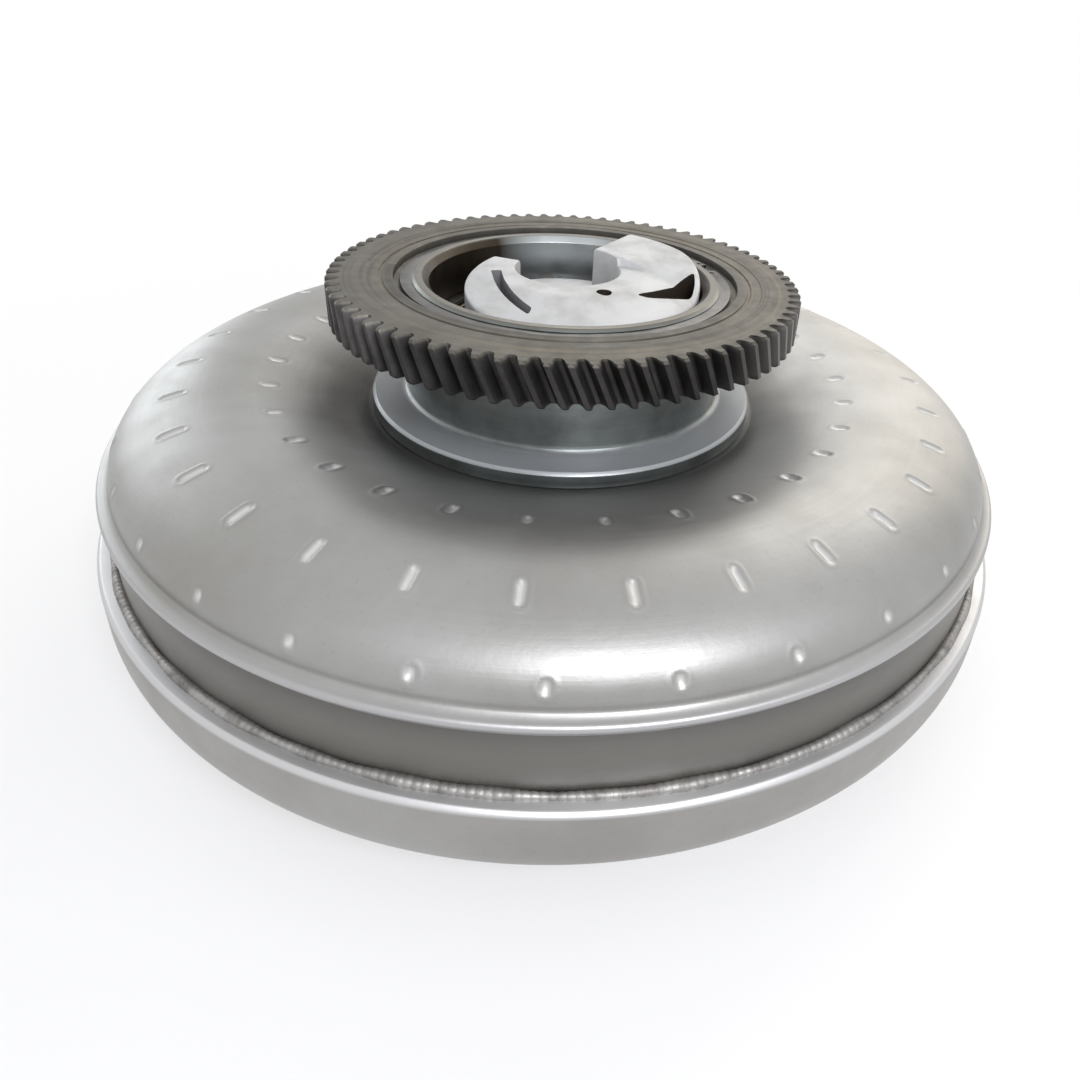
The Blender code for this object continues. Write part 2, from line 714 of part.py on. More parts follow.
def make_ball_bearing():
    ball_circle = (bearing_outer_radius + bearing_bore) / 2
    land = bearing_ball * 0.82
    track = bearing_ball + BALL_CLEARANCE
    half_groove = bearing_ball * 0.84
    half_track = bearing_ball * 0.30
    half_cage = bearing_ball + CAGE_LIP
    outer = [(bearing_outer_radius, bearing_top), (bearing_outer_radius, bearing_low)]
    outer += [(ball_circle + land, bearing_low), (ball_circle + land, bearing_middle - half_groove)]
    outer += [(ball_circle + track, bearing_middle - half_track)]
    outer += [(ball_circle + track, bearing_middle + half_track)]
    outer += [(ball_circle + land, bearing_middle + half_groove), (ball_circle + land, bearing_top)]
    settle(turned("outer_ring_blank", outer, INNER_SIDES), "bearing_outer_ring", "casing", "bearing_steel")
    inner = [(ball_circle - land, bearing_top), (ball_circle - land, bearing_middle + half_groove)]
    inner += [(ball_circle - track, bearing_middle + half_track)]
    inner += [(ball_circle - track, bearing_middle - half_track)]
    inner += [(ball_circle - land, bearing_middle - half_groove), (ball_circle - land, bearing_low)]
    inner += [(bearing_bore, bearing_low), (bearing_bore, bearing_top)]
    settle(turned("inner_ring_blank", inner, INNER_SIDES), "bearing_inner_ring", "support", "bearing_steel")
    cage = ring("cage_blank", ball_circle - CAGE_WALL / 2, ball_circle + CAGE_WALL / 2,
                bearing_middle - half_cage, bearing_middle + half_cage, BEARING_BALLS * 2)
    balls = []
    for i in range(BEARING_BALLS):
        x, y = polar(ball_circle, 2 * math.pi * i / BEARING_BALLS)
        shape = bmesh.new()
        centre = Matrix.Translation((x, y, bearing_middle))
        bmesh.ops.create_uvsphere(shape, u_segments=6, v_segments=4, radius=bearing_ball, matrix=centre)
        ball = bpy.data.meshes.new("ball")
        shape.to_mesh(ball)
        shape.free()
        balls.append(ball)
    join(cage, joined_mesh("bearing_balls", balls))
    settle(cage, "bearing_cage_with_balls", "cage", "bearing_steel")


def make_support():
    spigot = bearing_bore - SEAT_GAP
    shoulder = spigot + SPIGOT_SHOULDER
    sleeve_seat = SLEEVE_RADIUS + SEAT_GAP
    seat_top = plate_low + SEAT_GAP
    ring_top = plate_low + SPIGOT_SHOULDER_HEIGHT
    outline = [(shoulder, ring_top), (shoulder, bearing_top + SEAT_GAP), (spigot, bearing_top + SEAT_GAP)]
    outline += [(spigot, bearing_low), (sleeve_seat, bearing_low), (sleeve_seat, seat_top)]
    outline += [(plate_eye, seat_top), (plate_eye, ring_top)]
    flange = turned("spigot_blank", outline, INNER_SIDES)
    join(flange, plate_blank(), boss_blank())
    cut(flange, *port_cutters())
    settle(flange, "support_flange", "support", "cast_aluminium", 30.0)


def plate_blank():
    """The open-backed plate: coned, and cut away behind the eye and along a spiral at the left."""
    outline = [(plate_radius - PLATE_BEVEL, plate_edge_top), (plate_radius, plate_edge_top - PLATE_BEVEL)]
    outline += [(plate_radius, plate_low), (plate_eye, plate_low), (plate_eye, plate_top)]
    outline += [(plate_eye + PLATE_LAND, plate_top)]
    plate = turned("plate_blank", outline, OUTER_SIDES)
    keep = arc((0.0, 0.0), plate_radius + CUT_REACH, PLATE_START, BOSS_END, 14)
    keep += [polar(plate_eye / 2, math.radians(BOSS_END)), (0.0, 0.0)]
    keep += [polar(plate_eye / 2, math.radians(PLATE_END))]
    spiral_start = plate_radius * PLATE_SPIRAL
    for i in range(6):
        share = i / 6
        radius = spiral_start + (plate_radius - spiral_start) * share ** 1.3
        angle = PLATE_END + (PLATE_START + 360 - PLATE_END) * share
        keep.append(polar(radius, math.radians(angle)))
    kept = prism("plate_outline", [keep], plate_low - CUT_REACH, boss_top + CUT_REACH)
    boolean(plate, kept, "INTERSECT")
    return plate


def boss_blank():
    """The raised part of the plate: it climbs round the rim at the right to a flat face at the back."""
    outer = plate_radius - SEAT_GAP
    low = plate_edge_top - 2 * PLATE_BEVEL
    foot = plate_edge_top - PLATE_BEVEL
    steps = 4
    shape = bmesh.new()
    stations = []
    for i in range(steps + 2):
        share = min(i / steps, 1.0)
        turn = math.radians(BOSS_START + (BOSS_FLAT - BOSS_START) * share)
        if i > steps:
            turn = math.radians(BOSS_END - 1)
        inner = outer - (outer - plate_eye + BOSS_REACH) * (1 + 3 * share) / 4
        top = foot + (boss_top - foot) * math.sin(share * math.pi / 2)
        station = []
        for radius, height in ((inner, low), (outer, low), (outer, top - EDGE_CHAMFER),
                               (outer - EDGE_CHAMFER, top), (inner, top)):
            x, y = polar(radius, turn)
            station.append(shape.verts.new((x, y, height)))
        stations.append(station)
    bridge(shape, stations)
    return made_of("boss_blank", shape)


def bridge(shape, stations):
    """Walls between outlines that follow one another, and a cap at each end."""
    count = len(stations[0])
    for here, there in zip(stations, stations[1:]):
        for i in range(count):
            j = (i + 1) % count
            shape.faces.new((here[i], here[j], there[j], there[i]))
    shape.faces.new(stations[0])
    shape.faces.new(list(reversed(stations[-1])))


def made_of(name, shape):
    """A helper made of a finished bmesh, with its faces facing out."""
    bmesh.ops.triangulate(shape, faces=shape.faces)
    bmesh.ops.recalc_face_normals(shape, faces=shape.faces)
    mesh = bpy.data.meshes.new(name)
    shape.to_mesh(mesh)
    shape.free()
    return link(bpy.data.objects.new(name, mesh))


def port_cutters():
    """The oil ports in the plate: a wedge at the right, a curved slot at the left and one small hole."""
    floor = plate_edge_top - PORT_DEPTH + SPIGOT_SHOULDER_HEIGHT
    top = boss_top + CUT_REACH
    circle = plate_radius - PORT_WALL
    wedge = [polar(share * circle, math.radians(angle)) for share, angle in WEDGE_PORT]
    slot_inner, slot_outer = SLOT_SPIRAL
    slot = []
    for side in (1, -1):
        for i in range(4):
            share = i / 3 if side > 0 else 1 - i / 3
            radius = circle * (slot_inner + (slot_outer - slot_inner) * share ** 1.7) + side * SLOT_WIDTH / 2
            slot.append(polar(radius, math.radians(SLOT_START + (SLOT_END - SLOT_START) * share)))
    share, angle = SMALL_PORT_PLACE
    hole = arc(polar(share * circle, math.radians(angle)), SMALL_PORT, 0, 315, 8)
    return [prism("wedge_port", [wedge], floor, top), prism("slot_port", [slot], floor, top),
            prism("small_port", [hole], floor, top)]


def spline_outline(radius, depth):
    """A ring of straight teeth, from the outer radius down by the depth."""
    points = []
    pitch = 360.0 / SPLINE_TEETH
    for tooth in range(SPLINE_TEETH):
        start = tooth * pitch
        points += arc((0.0, 0.0), radius, start - 0.22 * pitch, start + 0.22 * pitch, 2)
        points += arc((0.0, 0.0), radius - depth, start + 0.30 * pitch, start + 0.70 * pitch, 2)
    return points


def circle_outline(radius, sides):
    return arc((0.0, 0.0), radius, 0, 360 - 360 / sides, sides)


def make_sleeve_and_inner_race():
    collar_top = hub_low - RACE_CLEARANCE
    sleeve_low = stator_low + SEAT_GAP
    splined = SLEEVE_RADIUS - SPLINE_EASE
    ring_low = (hub_low + hub_floor) / 2 - SEAL_RING / 2
    ring_top = ring_low + SEAL_RING
    groove = SLEEVE_RADIUS - SEAL_DEPTH
    outline = [(SLEEVE_RADIUS, plate_low), (SLEEVE_RADIUS, ring_top + SEAT_GAP)]
    outline += [(groove, ring_top + SEAT_GAP), (groove, ring_low - SEAT_GAP)]
    outline += [(SLEEVE_RADIUS, ring_low - SEAT_GAP), (SLEEVE_RADIUS, collar_top)]
    outline += [(collar_radius, collar_top), (collar_radius, race_top + SEAT_GAP)]
    outline += [(splined, race_top + SEAT_GAP), (splined, sleeve_low)]
    outline += [(sleeve_bore, sleeve_low), (sleeve_bore, plate_low)]
    sleeve = turned("sleeve_blank", outline, INNER_SIDES)
    around = circle_outline(SLEEVE_RADIUS + CUT_REACH, INNER_SIDES)
    cut(sleeve, prism("sleeve_splines", [around, spline_outline(SLEEVE_RADIUS, SPLINE_DEPTH)],
                      sleeve_low - CUT_REACH, race_top + SPLINE_EASE))
    settle(sleeve, "support_sleeve", "support", "machined_steel", 30.0)
    race_hole = spline_outline(SLEEVE_RADIUS + SPLINE_CLEARANCE, SPLINE_DEPTH)
    race_edge = circle_outline(inner_race_radius, OUTER_SIDES)
    race = prism("race_blank", [race_edge, race_hole], race_low, race_top)
    settle(race, "clutch_inner_race", "support", "bearing_steel", 30.0)
    seal = ring("seal_blank", groove + SEAT_GAP, SLEEVE_RADIUS + SLEEVE_CLEARANCE - SEAL_CLEARANCE,
                ring_low, ring_top, INNER_SIDES)
    settle(seal, "sleeve_seal_ring", "support", "spring_steel")


def pocket_points(start, end, inner, outer_start, outer_end):
    """A clutch pocket seen along the axis, with its ramp on the outer side."""
    points = [polar(inner, end), polar(inner, start)]
    steps = 4
    for i in range(steps + 1):
        share = i / steps
        points.append(polar(outer_start + (outer_end - outer_start) * share, start + (end - start) * share))
    return list(reversed(points))


def make_one_way_clutch():
    land = inner_race_radius + RACE_CLEARANCE
    half_roller = math.asin(ROLLER_RADIUS / roller_circle)
    pocket_start = -half_roller - ROLLER_TRAVEL - SPRING_SPACE
    pocket_end = half_roller + POCKET_CLEARANCE
    turns = [2 * math.pi * i / ROLLER_COUNT for i in range(ROLLER_COUNT)]
    outer = ring("outer_race_blank", land, outer_race_radius, race_low, race_top, INNER_SIDES)
    pocket_shape = pocket_points(pocket_start, pocket_end, land - CUT_REACH,
                                 ramp_radius + RAMP_RISE, ramp_radius)
    pocket = prism("roller_pocket", [pocket_shape], race_low - CUT_REACH, race_top + CUT_REACH)
    cut(outer, repeated("roller_pockets", pocket, turns))
    settle(outer, "clutch_outer_race", "stator", "bearing_steel", 30.0)
    roller = rod("roller_blank", ROLLER_RADIUS, -(race_top - race_low) / 2 + SEAT_GAP,
                 (race_top - race_low) / 2 - SEAT_GAP, SMALL_SIDES)
    roller_mesh = settle(roller, "clutch_roller_1", "rollers", "bearing_steel").data
    spring = folded_spring(pocket_start + POCKET_CLEARANCE, -half_roller - POCKET_CLEARANCE,
                           roller_circle, race_low + SPRING_END_GAP, race_top - SPRING_END_GAP)
    spring_mesh = settle(spring, "clutch_spring_1", "stator", "spring_steel").data
    for i, turn in enumerate(turns):
        x, y = polar(roller_circle, turn)
        where = (x, y, (race_low + race_top) / 2)
        if i == 0:
            bpy.data.objects["clutch_roller_1"].location = where
            continue
        place(roller_mesh, f"clutch_roller_{i + 1}", "rollers", where, turn)
        place(spring_mesh, f"clutch_spring_{i + 1}", "stator", angle=turn)
    for low, name in ((stator_low, "stator_side_plate_lower"),
                      (stator_top - SIDE_PLATE, "stator_side_plate_upper")):
        plate = ring(name + "_blank", collar_radius + RACE_CLEARANCE, outer_race_radius,
                     low, low + SIDE_PLATE, INNER_SIDES)
        settle(plate, name, "stator", "bronze")


def folded_spring(start, end, circle, low, top):
    """A flat spring folded to and fro between its pocket's end and the roller."""
    half_strip = SPRING_STRIP / 2
    shape = bmesh.new()
    stations = []
    for i in range(SPRING_FOLDS + 1):
        turn = start + (end - start) * i / SPRING_FOLDS
        middle = circle + (SPRING_DEPTH if i % 2 else -SPRING_DEPTH)
        station = []
        for side, height in ((-1, low), (1, low), (1, top), (-1, top)):
            x, y = polar(middle + side * half_strip, turn)
            station.append(shape.verts.new((x, y, height)))
        stations.append(station)
    bridge(shape, stations)
    return made_of("spring_blank", shape)


def make_stator_wheel():
    low = stator_low + STATOR_INSET
    top = stator_top - STATOR_INSET
    shroud_low = low + STATOR_SHROUD_INSET
    shroud_top = top - STATOR_SHROUD_INSET
    wheel = ring("stator_hub_blank", stator_blade_root - STATOR_HUB_WALL, stator_blade_root,
                 low, top, INNER_SIDES)
    shroud = ring("stator_shroud", stator_blade_tip, stator_blade_tip + STATOR_SHROUD,
                  shroud_low, shroud_top, INNER_SIDES)
    join(wheel, stator_blades(shroud_low + STATOR_INSET, shroud_top - STATOR_INSET), shroud)
    settle(wheel, "stator_wheel", "stator", "cast_aluminium", 30.0)


def stator_blades(low, top):
    """Cast aerofoils: thick and round at the turbine side, thin and swept towards the impeller."""
    section = ((0.00, 0.35), (0.35, 0.80), (1.00, 0.00), (0.30, -0.40))
    root = stator_blade_root - STATOR_SHROUD / 2
    tip = stator_blade_tip + STATOR_SHROUD / 2
    meshes = []
    for blade in range(STATOR_BLADES):
        shape = bmesh.new()
        loops = []
        for radius in (root, tip):
            loop = []
            for along, across in section:
                bend = STATOR_BLADE_SWEEP * along ** 1.8 + STATOR_BLADE_THICKNESS * across
                turn = 2 * math.pi * (blade + 0.5) / STATOR_BLADES + bend / radius
                x, y = polar(radius, turn)
                loop.append(shape.verts.new((x, y, low + (top - low) * along)))
            loops.append(loop)
        bridge(shape, loops)
        bmesh.ops.triangulate(shape, faces=shape.faces)
        bmesh.ops.recalc_face_normals(shape, faces=shape.faces)
        mesh = bpy.data.meshes.new("stator_blade")
        shape.to_mesh(mesh)
        shape.free()
        meshes.append(mesh)
    return joined_mesh("stator_blades", meshes)


def make_thrust_bearings():
    inner = collar_radius + SLEEVE_COLLAR
    for low, name, body in ((lower_thrust_low, "thrust_bearing_lower", "turbine"),
                            (upper_thrust_low, "thrust_bearing_upper", "casing")):
        cage = ring(name + "_blank", inner, inner + THRUST_BEARING_WIDTH, low, low + THRUST_BEARING,
                    INNER_SIDES)
        settle(cage, name, body, "bearing_steel")


def make_turbine():
    flange_low = turbine_flange_top - TURBINE_WALL
    mouth = split - SPLIT_GAP
    inner = turbine_line(TURBINE_WALL, *INNER_SHELL_POINTS)
    outline = [(turbine_radius - TURBINE_WALL, mouth), (turbine_radius, mouth)]
    outline += list(reversed(turbine_line(0.0, 2, 4)))
    outline += [(turbine_shell_bore, flange_low), (turbine_shell_bore, turbine_flange_top)]
    outline += inner
    shell = turned("turbine_shell_blank", outline, OUTER_SIDES)
    turns = [2 * math.pi * (i + 0.5) / RIVET_COUNT for i in range(RIVET_COUNT)]
    rivet_hole = rod("rivet_hole", RIVET_RADIUS + SEAT_GAP,
                     flange_low - CUT_REACH, turbine_hub_top + CUT_REACH, RIVET_SIDES)
    holes = repeated("rivet_holes", moved(rivet_hole, rivet_circle_radius), turns)
    cut(shell, holes)
    settle(shell, "turbine_shell", "turbine", "pressed_steel", 50.0)
    boss = TURBINE_BOSS_RADIUS
    nose = TURBINE_BORE + NOSE_WALL
    nose_low = turbine_hub_low - TURBINE_NOSE
    hub_flange_low = turbine_hub_top - TURBINE_HUB_FLANGE
    seat = collar_radius + SLEEVE_COLLAR + THRUST_BEARING_WIDTH + RIVET_RADIUS
    outline = [(turbine_flange_radius, turbine_hub_top - HUB_FACE_STEP)]
    outline += [(turbine_flange_radius, hub_flange_low)]
    outline += [(boss, hub_flange_low), (boss, turbine_hub_low), (nose, turbine_hub_low), (nose, nose_low)]
    outline += [(TURBINE_BORE, nose_low), (TURBINE_BORE, turbine_hub_top), (seat, turbine_hub_top)]
    outline += [(seat + HUB_FACE_STEP, turbine_hub_top - HUB_FACE_STEP)]
    hub = turned("turbine_hub_blank", outline, INNER_SIDES)
    splines = prism("hub_splines", [spline_outline(TURBINE_BORE + SPLINE_DEPTH, 2 * SPLINE_DEPTH)],
                    nose_low - CUT_REACH, turbine_hub_top + CUT_REACH)
    cut(hub, holes, splines)
    settle(hub, "turbine_hub", "turbine", "machined_steel", 30.0)
    rivet = settle(rivet_blank(), "turbine_rivet_1", "turbine", "machined_steel")
    rivet.rotation_euler.z = turns[0]
    for i, turn in enumerate(turns[1:]):
        place(rivet.data, f"turbine_rivet_{i + 2}", "turbine", angle=turn)


def rivet_blank():
    """A rivet with a coned head at each end, through the turbine shell and the hub's flange."""
    low = turbine_flange_top - TURBINE_WALL - SEAT_GAP
    top = turbine_hub_top - HUB_FACE_STEP + SEAT_GAP
    crown = RIVET_RADIUS * 1.1
    brim = RIVET_RADIUS * 1.7
    outline = [(0.0, top + RIVET_HEAD), (crown, top + RIVET_HEAD), (brim, top), (RIVET_RADIUS, top)]
    outline += [(RIVET_RADIUS, low), (brim, low), (crown, low - RIVET_HEAD), (0.0, low - RIVET_HEAD)]
    return moved(turned("rivet_at_axis", outline, RIVET_SIDES, closed=False), rivet_circle_radius)


def make_pilot():
    """The welded-in pilot, with a socket above that holds the bush for the turbine hub's nose."""
    socket = pilot_radius - PILOT_BUSH_WALL
    floor = pilot_top - PILOT_SOCKET_DEPTH
    flange_low = centre_floor + SEAT_GAP
    outline = [(0.0, floor), (socket, floor), (socket, pilot_top), (pilot_flange_radius, pilot_top)]
    outline += [(pilot_flange_radius, flange_low), (pilot_radius, flange_low), (pilot_radius, PILOT_CHAMFER)]
    outline += [(pilot_radius - PILOT_CHAMFER, 0.0), (PILOT_CENTRE, 0.0)]
    outline += [(PILOT_CENTRE - PILOT_CENTRE_DEPTH, PILOT_CENTRE_DEPTH), (0.0, PILOT_CENTRE_DEPTH)]
    boss = turned("pilot_blank", outline, INNER_SIDES, closed=False)
    settle(boss, "pilot_boss", "casing", "machined_steel")
    bush = ring("bush_blank", socket + SEAT_GAP - PILOT_BUSH_WALL, socket - SEAT_GAP,
                floor + SEAT_GAP, pilot_top, INNER_SIDES)
    settle(bush, "pilot_bush", "casing", "bronze")
    washer = ring("washer_blank", socket - SEAT_GAP, pilot_flange_radius, washer_low,
                  washer_low + THRUST_WASHER, INNER_SIDES)
    settle(washer, "turbine_thrust_washer", "casing", "bronze")


def make_lugs():
    half_width = LUG_WIDTH / 2
    half_length = LUG_LENGTH / 2
    outline = []
    for x, y, start in ((half_width, half_length, 0), (-half_width, half_length, 90),
                        (-half_width, -half_length, 180), (half_width, -half_length, 270)):
        centre = (x - math.copysign(LUG_CORNER, x), y - math.copysign(LUG_CORNER, y))
        outline += arc(centre, LUG_CORNER, start, start + 90, 2)
    hole = circle_outline(LUG_HOLE, SMALL_SIDES)
    blank = prism("lug_blank", [outline, hole], lug_face, cover_face - SEAT_GAP)
    lug = settle(blank, "mounting_lug_1", "casing", "machined_steel")
    for i in range(LUG_COUNT):
        turn = 2 * math.pi * i / LUG_COUNT
        x, y = polar(lug_circle_radius, turn)
        if i == 0:
            lug.location = (x, y, 0.0)
            continue
        place(lug.data, f"mounting_lug_{i + 1}", "casing", (x, y, 0.0), turn)


def make_plugs_and_weight():
    seat = cover_face - SEAT_GAP
    low = seat - PLUG_HEAD
    tip = cover_floor - SEAT_GAP
    outline = [(0.0, tip), (PLUG_RADIUS, tip), (PLUG_RADIUS, seat), (PLUG_HEAD_RADIUS, seat)]
    outline += [(PLUG_HEAD_RADIUS, low), (0.0, low)]
    plug = turned("plug_blank", outline, SMALL_SIDES, closed=False)
    cut(plug, rod("plug_socket", PLUG_SOCKET, low - CUT_REACH, low + PLUG_SOCKET_DEPTH, 6))
    mesh = settle(plug, "drain_plug_1", "casing", "machined_steel").data
    first, second = plug_angles()
    bpy.data.objects["drain_plug_1"].location = (*polar(plug_circle_radius, first), 0.0)
    place(mesh, "drain_plug_2", "casing", (*polar(plug_circle_radius, second), 0.0))
    half_turn = math.degrees(WEIGHT_LENGTH / weight_circle_radius / 2)
    middle = 90.0
    outer = weight_circle_radius + WEIGHT_WIDTH / 2
    inner = weight_circle_radius - WEIGHT_WIDTH / 2
    outline = arc((0.0, 0.0), outer, middle - half_turn, middle + half_turn, 5)
    outline += arc((0.0, 0.0), inner, middle + half_turn, middle - half_turn, 5)
    blank = prism("weight_blank", [outline], seat - WEIGHT_HEIGHT, seat)
    settle(blank, "balance_weight", "casing", "machined_steel")


def build():
    clear_scene()
    make_collection("torque_converter")
    make_collection("converter_cutters")
    for name in ("casing", "support", "cage", "stator", "rollers", "turbine"):
        make_body(name)
    bodies["stator"].parent = bodies["support"]
    bodies["rollers"].parent = bodies["stator"]
    make_material("shell_paint", (0.46, 0.46, 0.45), 0.38, 0.85)
    make_material("machined_steel", (0.36, 0.37, 0.37), 0.42, 0.9)
    make_material("gear_steel", (0.20, 0.19, 0.18), 0.45, 0.9)
    make_material("spring_steel", (0.22, 0.22, 0.22), 0.40, 0.9)
    make_material("bearing_steel", (0.55, 0.56, 0.57), 0.22, 1.0)
    make_material("pressed_steel", (0.40, 0.41, 0.42), 0.45, 0.9)
    make_material("cast_aluminium", (0.78, 0.78, 0.76), 0.40, 0.75)
    make_material("bronze", (0.55, 0.38, 0.18), 0.38, 0.9)
    make_front_cover()
    make_impeller_shell()
    make_wheels()
    make_impeller_hub()
    make_drive_gear()
    make_ball_bearing()
    make_support()
    make_sleeve_and_inner_race()
    make_one_way_clutch()
    make_stator_wheel()
    make_thrust_bearings()
    make_turbine()
    make_pilot()
    make_lugs()
    make_plugs_and_weight()


build()
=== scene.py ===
"""The looks of the torque converter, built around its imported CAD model.

Units are metres in the row frame: +Z runs up the axis of rotation, and the pilot's face is at zero.
Most pieces are turned: a short outline of (radius, height) points with rounded corners.
"""

import json
import math

import bmesh
import bpy
import numpy as np
from mathutils import Matrix, Vector


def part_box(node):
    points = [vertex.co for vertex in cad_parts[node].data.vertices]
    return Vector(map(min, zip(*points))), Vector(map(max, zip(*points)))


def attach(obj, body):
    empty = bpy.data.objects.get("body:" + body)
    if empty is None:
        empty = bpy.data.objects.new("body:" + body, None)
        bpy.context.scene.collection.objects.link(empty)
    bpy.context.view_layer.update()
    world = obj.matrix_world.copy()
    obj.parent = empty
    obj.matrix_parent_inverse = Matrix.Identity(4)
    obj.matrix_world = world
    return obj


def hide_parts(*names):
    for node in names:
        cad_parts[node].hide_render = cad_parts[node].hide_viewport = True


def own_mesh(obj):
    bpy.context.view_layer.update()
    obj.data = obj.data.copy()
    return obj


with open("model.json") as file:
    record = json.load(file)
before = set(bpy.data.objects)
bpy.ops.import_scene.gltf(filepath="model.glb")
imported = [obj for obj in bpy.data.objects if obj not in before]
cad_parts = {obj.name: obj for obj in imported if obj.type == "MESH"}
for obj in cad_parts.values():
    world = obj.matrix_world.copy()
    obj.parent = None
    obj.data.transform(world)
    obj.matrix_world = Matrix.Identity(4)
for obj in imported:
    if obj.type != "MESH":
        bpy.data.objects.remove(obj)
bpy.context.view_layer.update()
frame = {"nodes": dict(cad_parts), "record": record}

# Material slot and body of every CAD node
slots = {entry["node"]: entry["material_slot"] for entry in frame["record"]["subparts"]}
bodies = {}
for body_name, body_nodes in frame["record"]["behaviour"]["bodies"].items():
    bodies.update(dict.fromkeys(body_nodes, body_name))


def sides_of(node):
    """The lowest height, the highest height and the outer radius of a CAD node."""
    low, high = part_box(node)
    return low.z, high.z, high.x


cover_face, seam, cover_radius = sides_of("front_cover")
shell_low, shell_crest, rim_radius = sides_of("impeller_shell")
gear_low, gear_top, gear_tip = sides_of("drive_gear")
hub_low, spigot_top, hub_flange_radius = sides_of("impeller_hub")
bearing_low, bearing_top, bearing_outer = sides_of("bearing_outer_ring")
_, boss_top, _ = sides_of("support_flange")

# Gap between pieces that are fitted together
SEAT_GAP = 0.0003

# Casing
COVER_WALL = 0.005
COVER_DISH = 0.002
COVER_CORNER = 0.026
COVER_STEP = 0.006
COVER_STEP_PLACE = 0.012
BAND_HEIGHT = 0.0254
BAND_INSET = 0.002
BAND_WALL = 0.0045
RIM_BEAD = 0.0015
RIM_DEPTH = 0.0034
EDGE = 0.0012
FINE_EDGE = 0.0004
SHELL_WALL = 0.004
SHELL_INSET = 0.0043
SHELL_CREST_RADIUS = 0.1358
SHELL_SHOULDER = 0.0032
SHELL_FOOT_RADIUS = 0.082
SHELL_BORE = 0.068
DOME_STEP = 0.00085
LUG_CIRCLE = 0.130
LUG_WIDTH = 0.030
LUG_LENGTH = 0.046
LUG_CORNER = 0.005
LUG_HOLE = 0.0055
LUG_COUNT = 6
PILOT_RADIUS = 0.030
PILOT_WALL = 0.003
PILOT_SOCKET = 0.009
PILOT_FLANGE = 0.003
PILOT_CHAMFER = 0.002

# Hole in the pilot's face: radius at the face and at the bottom, depth
CENTRE_HOLE = (0.008, 0.005, 0.003)

# Dimples over the ends of the impeller's blades: radius, angle of one of them, length, width, depth
BLADES = 31
DIMPLE_ROWS = (
    (0.1190, math.radians(-94.6), 0.0072, 0.0044, 0.0009),
    (0.1530, math.radians(-93.5), 0.0100, 0.0038, 0.0009),
    (0.1740, math.radians(-90.5), 0.0052, 0.0042, 0.0009),
)
PRESSED = "pressed"
AROUND = BLADES * 40

# The raised lip round a dimple: height as a share of its depth, place and width as shares of its radius
DIMPLE_LIP = 0.25
DIMPLE_LIP_PLACE = 1.25
DIMPLE_LIP_WIDTH = 0.22

# Weld bead at the seam
WELD_RADIUS = 0.0016
WELD_RIPPLES = 460
WELD_RIPPLE = 0.00018

# Hub and gear
HUB_NECK_RADIUS = 0.0657
HUB_SPIGOT_RADIUS = 0.0625
HUB_BORE = 0.0558
HUB_BORE_CHAMFER = 0.0028
HUB_FLANGE = 0.0062
HUB_FLOOR = 0.0085
HUB_FILLET = 0.003
HUB_SHELL_GAP = 0.0006
BEARING_LEDGE = 0.009
SLEEVE_CLEARANCE = 0.0023
GEAR_TEETH = 77
GEAR_MODULE = 0.0024
GEAR_HELIX = math.radians(22.0)
GEAR_RECESS_RADIUS = 0.0695
GEAR_RECESS_DEPTH = 0.004
GEAR_STEP_RADIUS = 0.0790
GEAR_STEP = 0.0005
GEAR_CHAMFER = 0.0008
GEAR_DEDENDUM = 1.2 * GEAR_MODULE
GEAR_MIDDLE = 0.075
GEAR_SOFT = 0.0006
GEAR_ROOT_LAND = 0.0004
GEAR_GROOVE = (0.0735, 0.0737, 0.0749, 0.0751)
GEAR_GROOVE_DEPTH = 0.0011
TOOTH_POINTS = 12

# Retaining rings: thickness, width, gap between the ends, pliers holes and their angle, grooves
SNAP_RING = 0.0014
SNAP_WIDTH = 0.0058
SNAP_OPENING = math.radians(7.0)
SNAP_HOLE = 0.0011
SNAP_HOLE_ANGLE = 0.045
GEAR_RING_GROOVE = 0.0017
BEARING_RING_GROOVE = 0.0013
BEARING_RING_REACH = 0.0010
BEARING_RING_LIP = 0.005

# Bearing and support
BEARING_BORE = 0.035
BEARING_BALL = 0.005
BEARING_BALLS = 11
BEARING_LAND = 0.82 * BEARING_BALL
BEARING_TRACK = 1.04 * BEARING_BALL
BEARING_EDGE = 0.0007
CAGE_WALL = 0.002
CAGE_HEIGHT = 0.0112
SLEEVE_RADIUS = 0.027
PLATE_RADIUS = 0.0545
PLATE_EYE = 0.0215
PLATE_CLEARANCE = 0.0045
PLATE_EDGE = 0.0145
PLATE_RISE = 0.006
PLATE_LAND = 0.011
PLATE_ROUND = 0.0016
PLATE_SPIRAL = 0.633
PLATE_GROWTH = 1.3
PLATE_DROP = 0.8
BOSS_REACH = 0.003
PORT_DEPTH = 0.0125
PORT_WALL = 0.0022
SLOT_WIDTH = 0.0042
SMALL_PORT = 0.003
SPIGOT_SHOULDER = 0.0055
SPIGOT_SHOULDER_HEIGHT = 0.003

# Rollers of the one-way clutch, one spring for each
ROLLERS = 8

# Angles round the support plate, in degrees from +X
PLATE_START = -118
PLATE_END = 157
BOSS_START = -26
BOSS_FLAT = 26
BOSS_END = 60
SLOT_START = 194
SLOT_END = 253
SLOT_SPIRAL = (0.564, 0.86)

# The plate's mesh: degrees between sections, also close to its ends, and points over its rim and top
PLATE_STEP = 2.0
PLATE_STEP_CLOSE = 0.6
PLATE_CLOSE = 4
RIM_POINTS = 5
TOP_POINTS = 26

